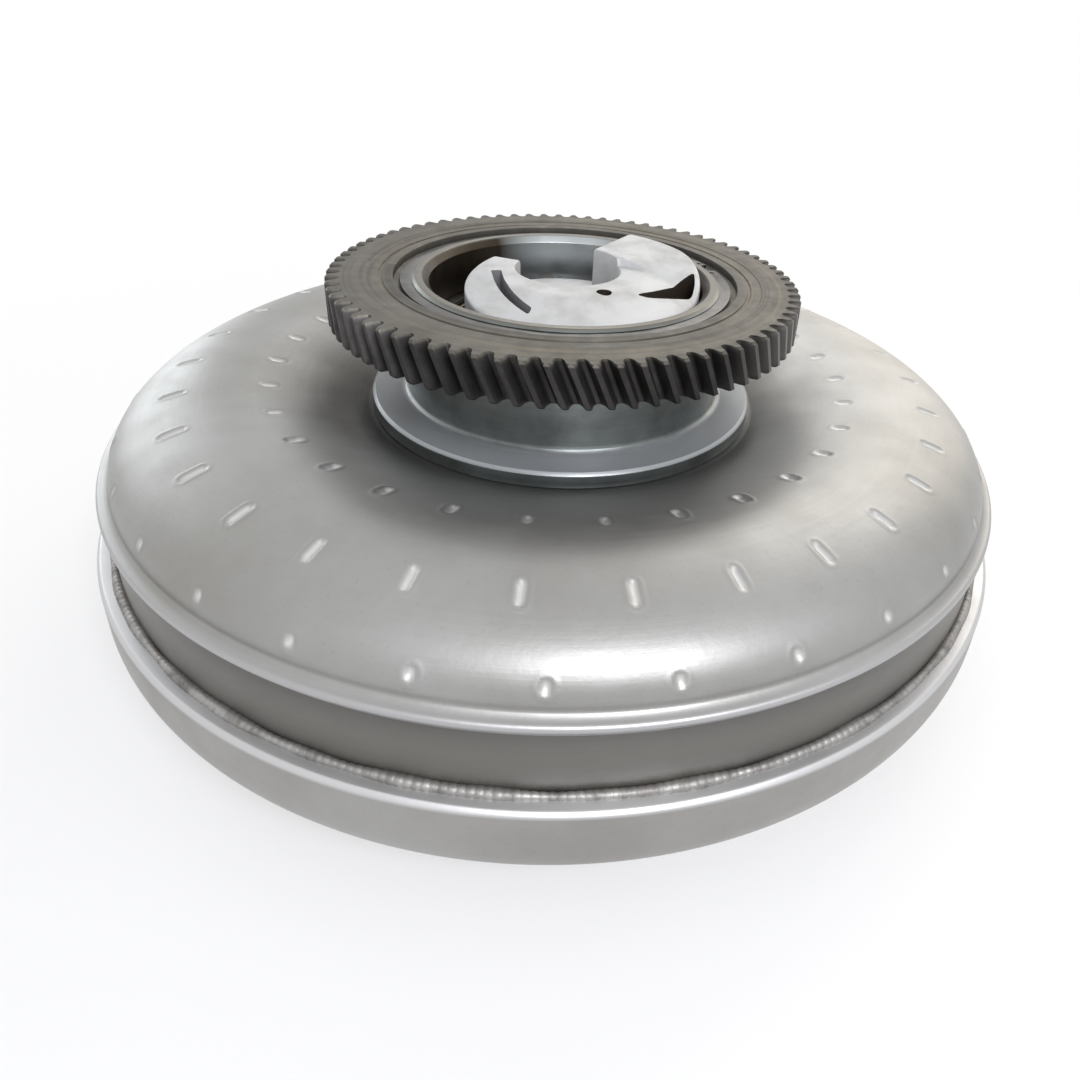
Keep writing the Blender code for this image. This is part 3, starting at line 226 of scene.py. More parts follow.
# Outline of the wedge-shaped port and place of the small one, as shares of the port circle and angles
WEDGE_PORT = ((1.0, -18), (1.0, -8), (1.0, 2), (0.86, -9),
              (0.75, -28), (0.70, -44), (0.78, -39), (0.875, -28))
SMALL_PORT_PLACE = (0.593, -63)

# Facets round a turned piece and round the cover
ROUND = 256
ROUND_COVER = 480

# Angles in degrees above which an edge is shaded sharp
SHARP = 38.0
SHARP_TURNED = 30.0
SHARP_SHELL = 55.0
SHARP_WELD = 60.0
SHARP_GEAR = 28.0
SHARP_PLATE = 32.0

FULL_TURN = 2 * math.pi

# Places worked out from the values above
rim = seam + BAND_HEIGHT
band = rim_radius - BAND_INSET
flange_low = hub_low + SHELL_WALL + SEAT_GAP
pitch_radius = GEAR_TEETH * GEAR_MODULE / 2
gear_root = pitch_radius - GEAR_DEDENDUM

# Camera, in the frame of the 1080 pixel photograph
IMAGE_SIDE = 1080.0
FOCAL_PIXELS = 822.014
CENTRE_PIXEL = (614.085, 428.089)
CAMERA_PLACE = (0.0, -0.3277, 0.2456)
CAMERA_PITCH = 0.47287
CAMERA_TURN = (-0.01871, -0.06342, 0.03795)


def polar(radius, angle, *height):
    """The point at this radius and angle, with a height where one is given."""
    return (radius * math.cos(angle), radius * math.sin(angle), *height)


def arc(centre, radius, start, end, count):
    """Points along an arc, both ends included, with the angles in degrees."""
    points = []
    for i in range(count):
        angle = math.radians(start + (end - start) * i / (count - 1))
        points.append((centre[0] + radius * math.cos(angle), centre[1] + radius * math.sin(angle)))
    return points


def circle(radius, sides, centre=(0.0, 0.0)):
    return arc(centre, radius, 0, 360 - 360 / sides, sides)


def rounded(outline, radius, steps=3):
    """The closed outline with each corner rounded, as far as its two edges leave room."""
    points = []
    count = len(outline)
    for i in range(count):
        here = Vector(outline[i])
        before = Vector(outline[i - 1]) - here
        after = Vector(outline[(i + 1) % count]) - here
        shorter = min(before.length, after.length)
        if here.x < 1e-6 or shorter < 1e-7 or before.angle(after) > math.radians(165):
            points.append(tuple(here))
            continue
        back = min(radius / math.tan(before.angle(after) / 2), 0.4 * shorter)
        first = here + before.normalized() * back
        last = here + after.normalized() * back
        for step in range(steps + 1):
            share = step / steps
            near = first.lerp(here, share)
            far = here.lerp(last, share)
            points.append(tuple(near.lerp(far, share)))
    return points


def new_object(name, data):
    made = bpy.data.objects.new(name, data)
    bpy.context.scene.collection.objects.link(made)
    return made


def new_piece(name, mesh, material, body, sharp=SHARP):
    """Puts a finished mesh in the scene, on its body. Without a material it keeps its own."""
    mesh.shade_smooth()
    mesh.set_sharp_from_angle(angle=math.radians(sharp))
    if material:
        mesh.materials.clear()
        mesh.materials.append(material)
    piece = new_object(name, mesh)
    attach(piece, body)
    return piece


def new_skin(node, mesh, material, sharp=SHARP):
    """Puts a finished mesh in place of a CAD node, on the node's body and with the given material, or
    its own where none is given.
    """
    piece = new_piece(node + "_skin", mesh, material, bodies[node], sharp)
    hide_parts(node)
    return piece


def face_outwards(shape):
    bmesh.ops.recalc_face_normals(shape, faces=shape.faces)
    if shape.calc_volume(signed=True) < 0:
        bmesh.ops.reverse_faces(shape, faces=shape.faces)


def mesh_from(shape, name):
    mesh = bpy.data.meshes.new(name)
    shape.to_mesh(mesh)
    shape.free()
    return mesh


def turned_mesh(name, outline, sides=ROUND):
    """A closed outline turned round Z. Points on the axis become one point."""
    shape = bmesh.new()
    rings = []
    for radius, height in outline:
        if radius < 1e-6:
            rings.append([shape.verts.new((0.0, 0.0, height))])
            continue
        ring = [polar(radius, FULL_TURN * side / sides, height) for side in range(sides)]
        rings.append([shape.verts.new(point) for point in ring])
    count = len(rings)
    for i in range(count):
        here = rings[i]
        there = rings[(i + 1) % count]
        for side in range(sides):
            other = (side + 1) % sides
            corners = [here[side % len(here)], here[other % len(here)],
                       there[other % len(there)], there[side % len(there)]]
            unique = list(dict.fromkeys(corners))
            if len(unique) > 2:
                shape.faces.new(unique)
    face_outwards(shape)
    return mesh_from(shape, name)


def turned_skin(node, outline, edge, material, sharp=SHARP_TURNED, sides=ROUND):
    """Turns an outline with rounded corners and puts it in place of a CAD node."""
    mesh = turned_mesh(node + "_skin", rounded(outline, edge), sides)
    new_skin(node, mesh, material, sharp)


def drawn_mesh(name, outlines, low, top, bevel=0.0, segments=3):
    """A flat outline, with any holes as further outlines, drawn out along Z and bevelled on request."""
    curve = bpy.data.curves.new(name, "CURVE")
    curve.dimensions = "2D"
    curve.fill_mode = "BOTH"
    curve.extrude = (top - low) / 2
    for outline in outlines:
        spline = curve.splines.new("POLY")
        spline.points.add(len(outline) - 1)
        for point, (x, y) in zip(spline.points, outline):
            point.co = (x, y, 0.0, 1.0)
        spline.use_cyclic_u = True
    drawn = new_object(name + "_outline", curve)
    bpy.context.view_layer.update()
    mesh = evaluated(drawn)
    mesh.transform(Matrix.Translation((0.0, 0.0, (top + low) / 2)))
    shape = bmesh.new()
    shape.from_mesh(mesh)
    bmesh.ops.remove_doubles(shape, verts=shape.verts, dist=0.000005)
    bmesh.ops.dissolve_limit(shape, angle_limit=math.radians(0.5), verts=shape.verts, edges=shape.edges)
    face_outwards(shape)
    mesh = mesh_from(shape, name)
    if bevel:
        mesh = bevelled(mesh, bevel, segments)
    return mesh


def evaluated(obj):
    """The object's mesh with its modifiers applied. The object itself is removed."""
    graph = bpy.context.evaluated_depsgraph_get()
    mesh = bpy.data.meshes.new_from_object(obj.evaluated_get(graph))
    bpy.data.objects.remove(obj, do_unlink=True)
    return mesh


def bevelled(mesh, width, segments=3, limit=35.0):
    obj = new_object("helper", mesh)
    modifier = obj.modifiers.new("Edge", "BEVEL")
    modifier.width = width
    modifier.segments = segments
    modifier.limit_method = "ANGLE"
    modifier.angle_limit = math.radians(limit)
    modifier.use_clamp_overlap = True
    return evaluated(obj)


def combined(mesh, others, operation):
    """The mesh after one exact Boolean with each of the others."""
    obj = new_object("helper", mesh)
    tools = [new_object("tool", other) for other in others]
    for tool in tools:
        modifier = obj.modifiers.new(operation.title(), "BOOLEAN")
        modifier.operation = operation
        modifier.object = tool
        modifier.solver = "EXACT"
        modifier.material_mode = "TRANSFER"
    bpy.context.view_layer.update()
    made = evaluated(obj)
    for tool in tools:
        bpy.data.objects.remove(tool, do_unlink=True)
    return made


class Finish:
    """A material's node tree, with short names for what the finishes below use."""

    def __init__(self, name, metallic, roughness):
        self.material = bpy.data.materials.new(name)
        self.material.use_nodes = True
        self.tree = self.material.node_tree
        self.shader = self.tree.nodes["Principled BSDF"]
        self.shader.inputs["Metallic"].default_value = metallic
        self.shader.inputs["Roughness"].default_value = roughness
        self.place = self.tree.nodes.new("ShaderNodeTexCoord").outputs["Object"]
        self.bump = None

    def node(self, kind, inputs=None, **settings):
        made = self.tree.nodes.new(kind)
        for key, value in settings.items():
            setattr(made, key, value)
        for key, value in (inputs or {}).items():
            if isinstance(value, bpy.types.NodeSocket):
                self.tree.links.new(value, made.inputs[key])
            else:
                made.inputs[key].default_value = value
        return made

    def math(self, operation, first, second=0.0):
        return self.node("ShaderNodeMath", {0: first, 1: second}, operation=operation).outputs[0]

    def spread(self, value, start, end, low=0.0, high=1.0):
        inputs = {"Value": value, "From Min": start, "From Max": end, "To Min": low, "To Max": high}
        return self.node("ShaderNodeMapRange", inputs).outputs[0]

    def noise(self, scale, detail=5.0, rough=0.6, stretch=None, where=None):
        """A noise over the piece, from 0 to 1, with features about 1 / scale metres across."""
        place = where or self.place
        if stretch:
            place = self.node("ShaderNodeMapping", {"Vector": place, "Scale": stretch}).outputs[0]
        inputs = {"Vector": place, "Scale": scale, "Detail": detail, "Roughness": rough}
        return self.node("ShaderNodeTexNoise", inputs).outputs["Fac"]

    def go_round(self):
        """Sets radius, angle and height, and a place made of them in which marks run round the axis."""
        x, y, self.height = self.node("ShaderNodeSeparateXYZ", {0: self.place}).outputs
        squares = self.math("ADD", self.math("MULTIPLY", x, x), self.math("MULTIPLY", y, y))
        self.radius = self.math("SQRT", squares)
        self.angle = self.math("ARCTAN2", y, x)
        inputs = {0: self.radius, 1: self.math("MULTIPLY", self.angle, 0.02), 2: self.height}
        self.turned_place = self.node("ShaderNodeCombineXYZ", inputs).outputs[0]

    def mix(self, share, first, second):
        """Blends two colours. They are the node's sockets 6 and 7, and the blend is its output 2."""
        inputs = {0: share}
        for key, value in ((6, first), (7, second)):
            inputs[key] = (*value, 1.0) if isinstance(value, tuple) else value
        return self.node("ShaderNodeMix", inputs, data_type="RGBA").outputs[2]

    def shade(self, value, start, end, first, second, most=1.0):
        """From the first colour towards the second, as the value goes from start to end."""
        return self.mix(self.spread(value, start, end, 0.0, most), first, second)

    def side(self, degrees, start, end, most=1.0):
        """Rises on the side of the piece that lies at this angle from +X."""
        facing = self.math("COSINE", self.math("SUBTRACT", self.angle, math.radians(degrees)))
        return self.spread(facing, start, end, 0.0, most)

    def marks(self, scale, rough=0.5, stretch=(1.0, 0.04, 1.0)):
        """Fine rings round the axis, as a lathe leaves them."""
        return self.noise(scale, 2.0, rough, stretch, self.turned_place)

    def colour(self, value):
        self.tree.links.new(value, self.shader.inputs["Base Color"])

    def roughness(self, value):
        self.tree.links.new(value, self.shader.inputs["Roughness"])

    def metallic(self, value):
        self.tree.links.new(value, self.shader.inputs["Metallic"])

    def relief(self, value, height):
        bump = self.node("ShaderNodeBump", {"Height": value, "Distance": height})
        if self.bump is not None:
            self.tree.links.new(self.bump, bump.inputs["Normal"])
        self.bump = bump.outputs[0]
        self.tree.links.new(self.bump, self.shader.inputs["Normal"])


def spun_finish(name, pale, dull):
    """Satin bare steel with faint spun rings, blotches and specks. Returns the finish and its shade."""
    finish = Finish(name, 0.86, 0.46)
    finish.go_round()
    shade = finish.shade(finish.noise(13.0), 0.35, 0.7, pale, dull)
    half = tuple(value / 2 for value in dull)
    shade = finish.shade(finish.noise(700.0, 3.0, 0.7), 0.60, 0.78, shade, half, 0.25)
    smear = finish.spread(finish.noise(50.0), 0.3, 0.75, 0.40, 0.50)
    spun = finish.marks(1500.0, stretch=(1.0, 0.05, 1.0))
    finish.roughness(finish.math("ADD", smear, finish.spread(spun, 0.3, 0.7, -0.02, 0.02)))
    finish.relief(spun, 0.00002)
    finish.relief(finish.noise(420.0, 4.0, 0.65), 0.00005)
    return finish, shade


def shell_finish(name):
    """The impeller shell's steel: painted highlights on the rim ring and dimples, painted shade on the
    band and towards the hub, and a painted gear shadow at the left.
    """
    finish, shade = spun_finish(name, (0.375, 0.375, 0.37), (0.30, 0.295, 0.28))
    # Painted highlight: the rim ring is coloured lighter where the light catches it.
    ring_low = finish.spread(finish.height, rim - RIM_DEPTH, rim - RIM_DEPTH + 0.0008)
    ring_high = finish.spread(finish.height, rim + 0.0008, rim + 0.0020, 1.0, 0.0)
    shade = finish.mix(finish.math("MULTIPLY", ring_low, ring_high), shade, (0.43, 0.43, 0.435))
    # Painted shade: the band below the rim ring is coloured darker, for the dark surroundings it
    # mirrors.
    band_shade = finish.math("SUBTRACT", 1.0, ring_low)
    shade = finish.mix(band_shade, shade, (0.185, 0.178, 0.165))
    # Painted shade: the shell is coloured darker towards the hub, under the gear that shades it.
    hub_shade = finish.spread(finish.radius, 0.080, 0.119, 1.0, 0.0)
    hub_shade = finish.math("MULTIPLY", finish.math("POWER", hub_shade, 1.3), 0.75)
    shade = finish.mix(hub_shade, shade, (0.10, 0.10, 0.095))
    # Painted shadow: darker still on the left close to the hub, where the gear's shadow falls.
    left = finish.side(188.0, 0.50, 0.95, 0.85)
    close = finish.spread(finish.radius, 0.096, 0.124, 1.0, 0.0)
    shade = finish.mix(finish.math("MULTIPLY", left, close), shade, (0.055, 0.052, 0.048))
    # Painted highlight: the dimples are coloured lighter, for the bright spots they catch.
    pressed = finish.node("ShaderNodeAttribute", attribute_name=PRESSED).outputs["Fac"]
    finish.colour(finish.shade(pressed, 0.0, 1.0, shade, (0.72, 0.72, 0.71), 0.8))
    return finish.material


def cover_finish(name):
    """The front cover's steel, with a painted highlight along its upper edge."""
    finish, shade = spun_finish(name, (0.37, 0.365, 0.355), (0.295, 0.285, 0.27))
    # Painted highlight: a lighter band along the cover's upper edge at the seam.
    edge = (seam - 0.0022, seam - 0.0010)
    finish.colour(finish.shade(finish.height, *edge, shade, (0.56, 0.56, 0.565)))
    return finish.material


def turned_finish(name, colour, dark, metallic=0.9, rough=(0.28, 0.45), marks=0.00003):
    """Machined metal with fine lathe marks, oil stains and small scratches."""
    finish = Finish(name, metallic, rough[0])
    finish.go_round()
    shade = finish.shade(finish.noise(45.0), 0.42, 0.72, colour, dark)
    lathe = finish.marks(2200.0)
    middle = tuple((a + b) / 2 for a, b in zip(colour, dark))
    finish.colour(finish.shade(lathe, 0.45, 0.75, shade, middle, 0.5))
    finish.roughness(finish.spread(finish.noise(110.0, 4.0), 0.3, 0.7, *rough))
    finish.relief(lathe, marks)
    finish.relief(finish.noise(700.0, 3.0), marks)
    return finish.material


def cast_finish(name, colour, dark, metallic=0.75, rough=(0.36, 0.52)):
    """Cast or sheet metal with a fine grain and darker, oily patches."""
    finish = Finish(name, metallic, 0.45)
    patch = finish.noise(55.0)
    shade = finish.shade(patch, 0.45, 0.72, colour, dark, 0.8)
    grain = finish.noise(1300.0, 3.0, 0.7)
    finish.colour(finish.shade(grain, 0.55, 0.8, shade, dark, 0.4))
    finish.roughness(finish.spread(patch, 0.3, 0.7, *rough))
    finish.relief(grain, 0.00008)
    return finish.material


def hub_finish(name):
    """Turned steel: stained neck in painted shade, flange face with a painted highlight, painted shade
    in the bore with painted light on its far side, and a worn top ring.
    """
    finish = Finish(name, 0.9, 0.38)
    finish.go_round()
    stain = finish.noise(45.0)
    # Painted shade: the neck is coloured darker, for the shade under the gear; the stain noise is its
    # own.
    neck = finish.shade(stain, 0.4, 0.72, (0.215, 0.235, 0.232), (0.12, 0.13, 0.128))
    lathe = finish.marks(2200.0)
    neck = finish.shade(lathe, 0.45, 0.75, neck, (0.15, 0.16, 0.158), 0.5)
    # Painted highlight: the flange's flat top is coloured lighter, as it faces the light; it is also
    # less metallic.
    flange_top = flange_low + HUB_FLANGE
    below = finish.spread(finish.height, flange_top + 0.0002, flange_top + 0.0012, 1.0, 0.0)
    above = finish.spread(finish.height, flange_top - 0.0014, flange_top - 0.0006)
    flange_highlight = finish.math("MULTIPLY", below, above)
    shade = finish.mix(flange_highlight, neck, (0.33, 0.345, 0.355))
    top = (spigot_top - 0.0010, spigot_top - 0.0002)
    shade = finish.shade(finish.height, *top, shade, (0.16, 0.152, 0.132))
    # Painted shade: the bore is coloured dark brown, with painted light making its far side at +Y
    # lighter.
    bore_shade = finish.shade(stain, 0.3, 0.7, (0.050, 0.040, 0.028), (0.026, 0.020, 0.014))
    bore_shade_and_light = finish.mix(finish.side(90.0, 0.82, 0.98), bore_shade, (0.42, 0.45, 0.455))
    in_bore = finish.spread(finish.radius, HUB_BORE + 0.0022, HUB_BORE + 0.0030, 1.0, 0.0)
    finish.colour(finish.mix(in_bore, shade, bore_shade_and_light))
    finish.metallic(finish.spread(flange_highlight, 0.0, 1.0, 0.9, 0.35))
    finish.roughness(finish.spread(finish.noise(110.0, 4.0), 0.3, 0.7, 0.30, 0.44))
    finish.relief(lathe, 0.00003)
    return finish.material


def gear_finish(name):
    """Hardened gear steel: nearly black on the oiled teeth but lighter on the right as painted light, a
    worn grey-brown on the turned faces.
    """
    finish = Finish(name, 0.85, 0.42)
    finish.go_round()
    teeth = finish.spread(finish.radius, gear_tip - 0.0068, gear_tip - 0.0052)
    face = finish.spread(finish.height, gear_top - 0.0012, gear_top - 0.0004)
    oiled = finish.math("MULTIPLY", teeth, finish.math("SUBTRACT", 1.0, face))
    stain = finish.noise(60.0, 5.0, 0.62)
    worn = finish.shade(stain, 0.38, 0.72, (0.138, 0.130, 0.114), (0.092, 0.085, 0.073))
    rings = finish.marks(320.0, 0.6, (1.0, 0.03, 0.3))
    worn = finish.shade(rings, 0.52, 0.66, worn, (0.185, 0.158, 0.112), 0.6)
    worn = finish.shade(rings, 0.46, 0.34, worn, (0.060, 0.055, 0.048), 0.6)
    lathe = finish.marks(1800.0)
    worn = finish.shade(lathe, 0.5, 0.8, worn, (0.10, 0.095, 0.086), 0.4)
    black = finish.shade(stain, 0.4, 0.7, (0.062, 0.059, 0.057), (0.030, 0.028, 0.027))
    # Painted light: the teeth are coloured lighter on the right side, where the light falls.
    black = finish.mix(finish.side(-12.0, 0.72, 0.97, 0.8), black, (0.27, 0.26, 0.25))
    finish.colour(finish.mix(oiled, worn, black))
    finish.roughness(finish.spread(finish.noise(160.0, 4.0), 0.3, 0.7, 0.48, 0.62))
    finish.relief(lathe, 0.00003)
    return finish.material


def weld_finish(name):
    """Weld metal with blotches of heat tint and soot."""
    finish = Finish(name, 0.85, 0.40)
    tint = finish.noise(180.0, 4.0)
    finish.colour(finish.shade(tint, 0.4, 0.7, (0.36, 0.35, 0.335), (0.17, 0.16, 0.15)))
    finish.roughness(finish.spread(tint, 0.3, 0.7, 0.46, 0.62))
    finish.relief(finish.noise(1600.0, 3.0), 0.00008)
    return finish.material


def floor_finish():
    """A plain pale floor that keeps the object's shadow and turns to plain white away from it."""
    finish = Finish("studio_floor", 0.0, 0.9)
    finish.go_round()
    finish.shader.inputs["Base Color"].default_value = (0.92, 0.92, 0.915, 1.0)
    finish.relief(finish.noise(60.0, 4.0, 0.55), 0.0002)
    white = finish.node("ShaderNodeEmission", {"Color": (1.0, 1.0, 1.0, 1.0), "Strength": 1.0})
    share = finish.spread(finish.radius, 0.25, 0.75, 0.40, 1.0)
    share = finish.math("MULTIPLY", share, seen_directly(finish.tree))
    inputs = {0: share, 1: finish.shader.outputs[0], 2: white.outputs[0]}
    mixed = finish.node("ShaderNodeMixShader", inputs)
    finish.tree.links.new(mixed.outputs[0], finish.tree.nodes["Material Output"].inputs["Surface"])
    return finish.material


def seen_directly(tree):
    """1 for the camera's own rays and for rays off metal or through glass, else 0."""
    path = tree.nodes.new("ShaderNodeLightPath")
    total = path.outputs["Is Camera Ray"]
    for kind in ("Is Glossy Ray", "Is Transmission Ray"):
        larger = tree.nodes.new("ShaderNodeMath")
        larger.operation = "MAXIMUM"
        tree.links.new(total, larger.inputs[0])
        tree.links.new(path.outputs[kind], larger.inputs[1])
        total = larger.outputs[0]
    return total


def make_finishes():
    """All finishes by name. Those named after a slot also serve the CAD nodes with that slot."""
    return {
        "shell": shell_finish("spun_steel_shell"),
        "cover": cover_finish("pressed_steel_cover"),
        "hub": hub_finish("turned_hub_steel"),
        "machined_steel": turned_finish("turned_steel", (0.42, 0.42, 0.41), (0.22, 0.215, 0.205)),
        "bearing_steel": turned_finish(
            "oiled_bearing_steel", (0.12, 0.105, 0.085), (0.05, 0.04, 0.03), 0.95, (0.24, 0.38)),
        "spring_steel": turned_finish("spring_steel", (0.16, 0.155, 0.15), (0.07, 0.07, 0.068)),
        "bronze": turned_finish("bearing_bronze", (0.55, 0.38, 0.18), (0.34, 0.22, 0.10)),
        "gear": gear_finish("oiled_gear_steel"),
        "weld": weld_finish("weld_metal"),
        "cast_aluminium": cast_finish(
            "cast_aluminium", (0.53, 0.535, 0.54), (0.37, 0.365, 0.35), 0.6, (0.54, 0.70)),
        # Painted shade: the port walls are coloured nearly black, for the shadow in the deep ports.
        "port": cast_finish("port_walls_painted_shade", (0.050, 0.038, 0.028), (0.022, 0.017, 0.013), 0.3),
        # Painted shade: the slot walls are coloured darker than the plate, for the shade in the deep
        # slot.
        "slot": cast_finish("cast_slot_walls_painted_shade", (0.30, 0.29, 0.30), (0.19, 0.18, 0.19), 0.3),
        "pressed_steel": cast_finish("pressed_sheet", (0.38, 0.385, 0.39), (0.24, 0.235, 0.225), 0.88),
    }


def shell_line(inset, slope_points, arc_points):
    """The impeller shell's section from its foot over the crest to the shoulder above the rim."""
    shoulder = rim + SHELL_SHOULDER
    low = hub_low + SHELL_WALL - inset
    crest = shell_crest - inset
    points = []
    for i in range(slope_points):
        along = i / slope_points
        radius = SHELL_FOOT_RADIUS + (SHELL_CREST_RADIUS - SHELL_FOOT_RADIUS) * along
        points.append((radius, low + (crest - low) * math.sin(along * math.pi / 2)))
    half_width = rim_radius - SHELL_INSET - inset - SHELL_CREST_RADIUS
    for i in range(arc_points):
        turn = math.pi / 2 * (1 - i / (arc_points - 1))
        radius = SHELL_CREST_RADIUS + half_width * math.cos(turn)
        points.append((radius, shoulder + (crest - shoulder) * math.sin(turn)))
    return points


def run_along(line):
    """How far along the line each of its points lies."""
    return np.concatenate([[0.0], np.cumsum(np.hypot(*np.diff(line, axis=0).T))])


def even_line(points, step):
    """The same line with points a fixed step apart."""
    line = np.array(points)
    lengths = run_along(line)
    count = max(2, int(lengths[-1] / step))
    wanted = np.linspace(0.0, lengths[-1], count)
    return list(zip(np.interp(wanted, lengths, line[:, 0]), np.interp(wanted, lengths, line[:, 1])))


def dimple_depth(section, crest_run, angle):
    """How far the skin is pressed in: a row for each point of the section, a column for each angle."""
    radius = section[:, 0]
    run = run_along(section)
    depth = np.zeros((len(radius), len(angle)))
    pitch = FULL_TURN / BLADES
    for row_radius, row_angle, length, width, press in DIMPLE_ROWS:
        off = (angle - row_angle + pitch / 2) % pitch - pitch / 2
        along = (run - np.interp(row_radius, radius[:crest_run], run[:crest_run]))[:, None]
        across = off[None, :] * radius[:, None]
        half_run = max(length - width, 0.0) / 2
        beyond = np.maximum(np.abs(along) - half_run, 0.0)
        reach = np.hypot(beyond, across) / (width / 2)
        bowl = np.where(reach < 1, 0.5 + 0.5 * np.cos(math.pi * np.minimum(reach, 1)), 0.0)
        lip = np.exp(-((reach - DIMPLE_LIP_PLACE) / DIMPLE_LIP_WIDTH) ** 2) * DIMPLE_LIP
        depth += press * (bowl - lip)
    return depth


def make_shell(finishes):
    """The impeller shell with its pressed dimples, rim ring and band, in place of the CAD shell."""
    dome = even_line(shell_line(0.0, 40, 60), DOME_STEP)
    collar = [(rim_radius - SHELL_INSET + 0.0004, rim + 0.0022)]
    collar += arc((rim_radius - RIM_BEAD, rim), RIM_BEAD, 88, -42, 8)
    collar += [(band, rim - RIM_DEPTH)]
    foot = [(SHELL_BORE, hub_low + SHELL_WALL), (SHELL_FOOT_RADIUS - 0.002, hub_low + SHELL_WALL)]
    outside = foot + dome + collar + [(band, (rim + seam) / 2), (band, seam - 0.003)]
    inside = [(band, shell_low), (band - BAND_WALL, shell_low), (band - BAND_WALL, rim - 0.002)]
    inside += list(reversed(shell_line(SHELL_WALL, 6, 9)))
    inside += [(SHELL_BORE, hub_low)]
    outline = np.array(outside + inside)
    angles = FULL_TURN * np.arange(AROUND) / AROUND
    section = np.array(outside)
    tangent = np.gradient(section, axis=0)
    tangent /= np.maximum(np.hypot(*tangent.T), 1e-9)[:, None]
    depth = dimple_depth(section, len(foot) + len(dome), angles)
    radius = np.repeat(outline[:, :1], AROUND, axis=1)
    height = np.repeat(outline[:, 1:], AROUND, axis=1)
    count = len(outside)
    radius[:count] += depth * tangent[:, 1:2]
    height[:count] -= depth * tangent[:, :1]
    mesh = grid_mesh("impeller_shell_skin", radius, height, angles)
    pressed = np.zeros_like(radius)
    pressed[:count] = np.clip(depth / max(row[-1] for row in DIMPLE_ROWS), 0.0, 1.0)
    mesh.attributes.new(PRESSED, "FLOAT", "POINT").data.foreach_set("value", pressed.ravel())
    new_skin("impeller_shell", mesh, finishes["shell"], SHARP_SHELL)


def grid_mesh(name, radius, height, angles):
    """A closed tube of sections: row by row round the axis, the last row joined to the first."""
    rows, columns = radius.shape
    x = radius * np.cos(angles)
    y = radius * np.sin(angles)
    points = np.stack([x, y, height], axis=2).reshape(-1, 3)
    row = np.arange(rows)[:, None]
    column = np.arange(columns)[None, :]
    next_row = (row + 1) % rows
    next_column = (column + 1) % columns
    corners = [row * columns + column, next_row * columns + column,
               next_row * columns + next_column, row * columns + next_column]
    faces = np.stack([np.broadcast_to(c, (rows, columns)) for c in corners], axis=2).reshape(-1, 4)
    mesh = bpy.data.meshes.new("grid")
    mesh.from_pydata(points.tolist(), [], faces.tolist())
    shape = bmesh.new()
    shape.from_mesh(mesh)
    face_outwards(shape)
    return mesh_from(shape, name)


def make_cover(finishes):
    """The front cover with its rounded corner, stepped face and lip, in place of the CAD cover."""
    step_outer = LUG_CIRCLE - LUG_WIDTH / 2 - COVER_STEP_PLACE
    step_inner = step_outer - COVER_STEP
    centre_face = cover_face + COVER_DISH
    centre_floor = centre_face + COVER_WALL
    floor = cover_face + COVER_WALL
    corner = (cover_radius - COVER_CORNER, cover_face + COVER_CORNER)
    outline = [(cover_radius - EDGE, seam), (cover_radius, seam - EDGE)]
    outline += arc(corner, COVER_CORNER, 0, -90, 24)
    outline += [(step_outer, cover_face), (step_inner, centre_face)]
    outline += [(PILOT_RADIUS + SEAT_GAP, centre_face), (PILOT_RADIUS + SEAT_GAP, centre_floor)]
    outline += [(step_inner, centre_floor), (step_outer, floor)]
    outline += arc(corner, COVER_CORNER - COVER_WALL, -90, 0, 12)
    outline += [(cover_radius - COVER_WALL, shell_low - SEAT_GAP)]
    outline += [(band + SEAT_GAP, shell_low - SEAT_GAP), (band + SEAT_GAP, seam)]
    turned_skin("front_cover", outline, EDGE, finishes["cover"], SHARP, ROUND_COVER)


def make_weld(finishes):
    """The rippled weld bead in the corner between the band and the cover's edge."""
    columns = WELD_RIPPLES * 6
    angles = FULL_TURN * np.arange(columns) / columns
    turns = np.linspace(0.0, FULL_TURN, 14, endpoint=False)
    ripple = np.abs(np.sin(angles * WELD_RIPPLES / 2)) ** 0.7
    wander = 0.00025 * np.sin(angles * 17 + 0.6 * np.sin(angles * 5)) + 0.00018 * np.sin(angles * 41)
    bead = WELD_RADIUS + WELD_RIPPLE * (ripple - 0.6) + wander
    radius = band + EDGE + bead[None, :] * np.cos(turns)[:, None]
    height = seam + 0.0002 + bead[None, :] * np.sin(turns)[:, None]
    mesh = grid_mesh("seam_weld", np.minimum(radius, cover_radius - 0.0001), height, angles)
    new_piece("seam_weld", mesh, finishes["weld"], "casing", SHARP_WELD)


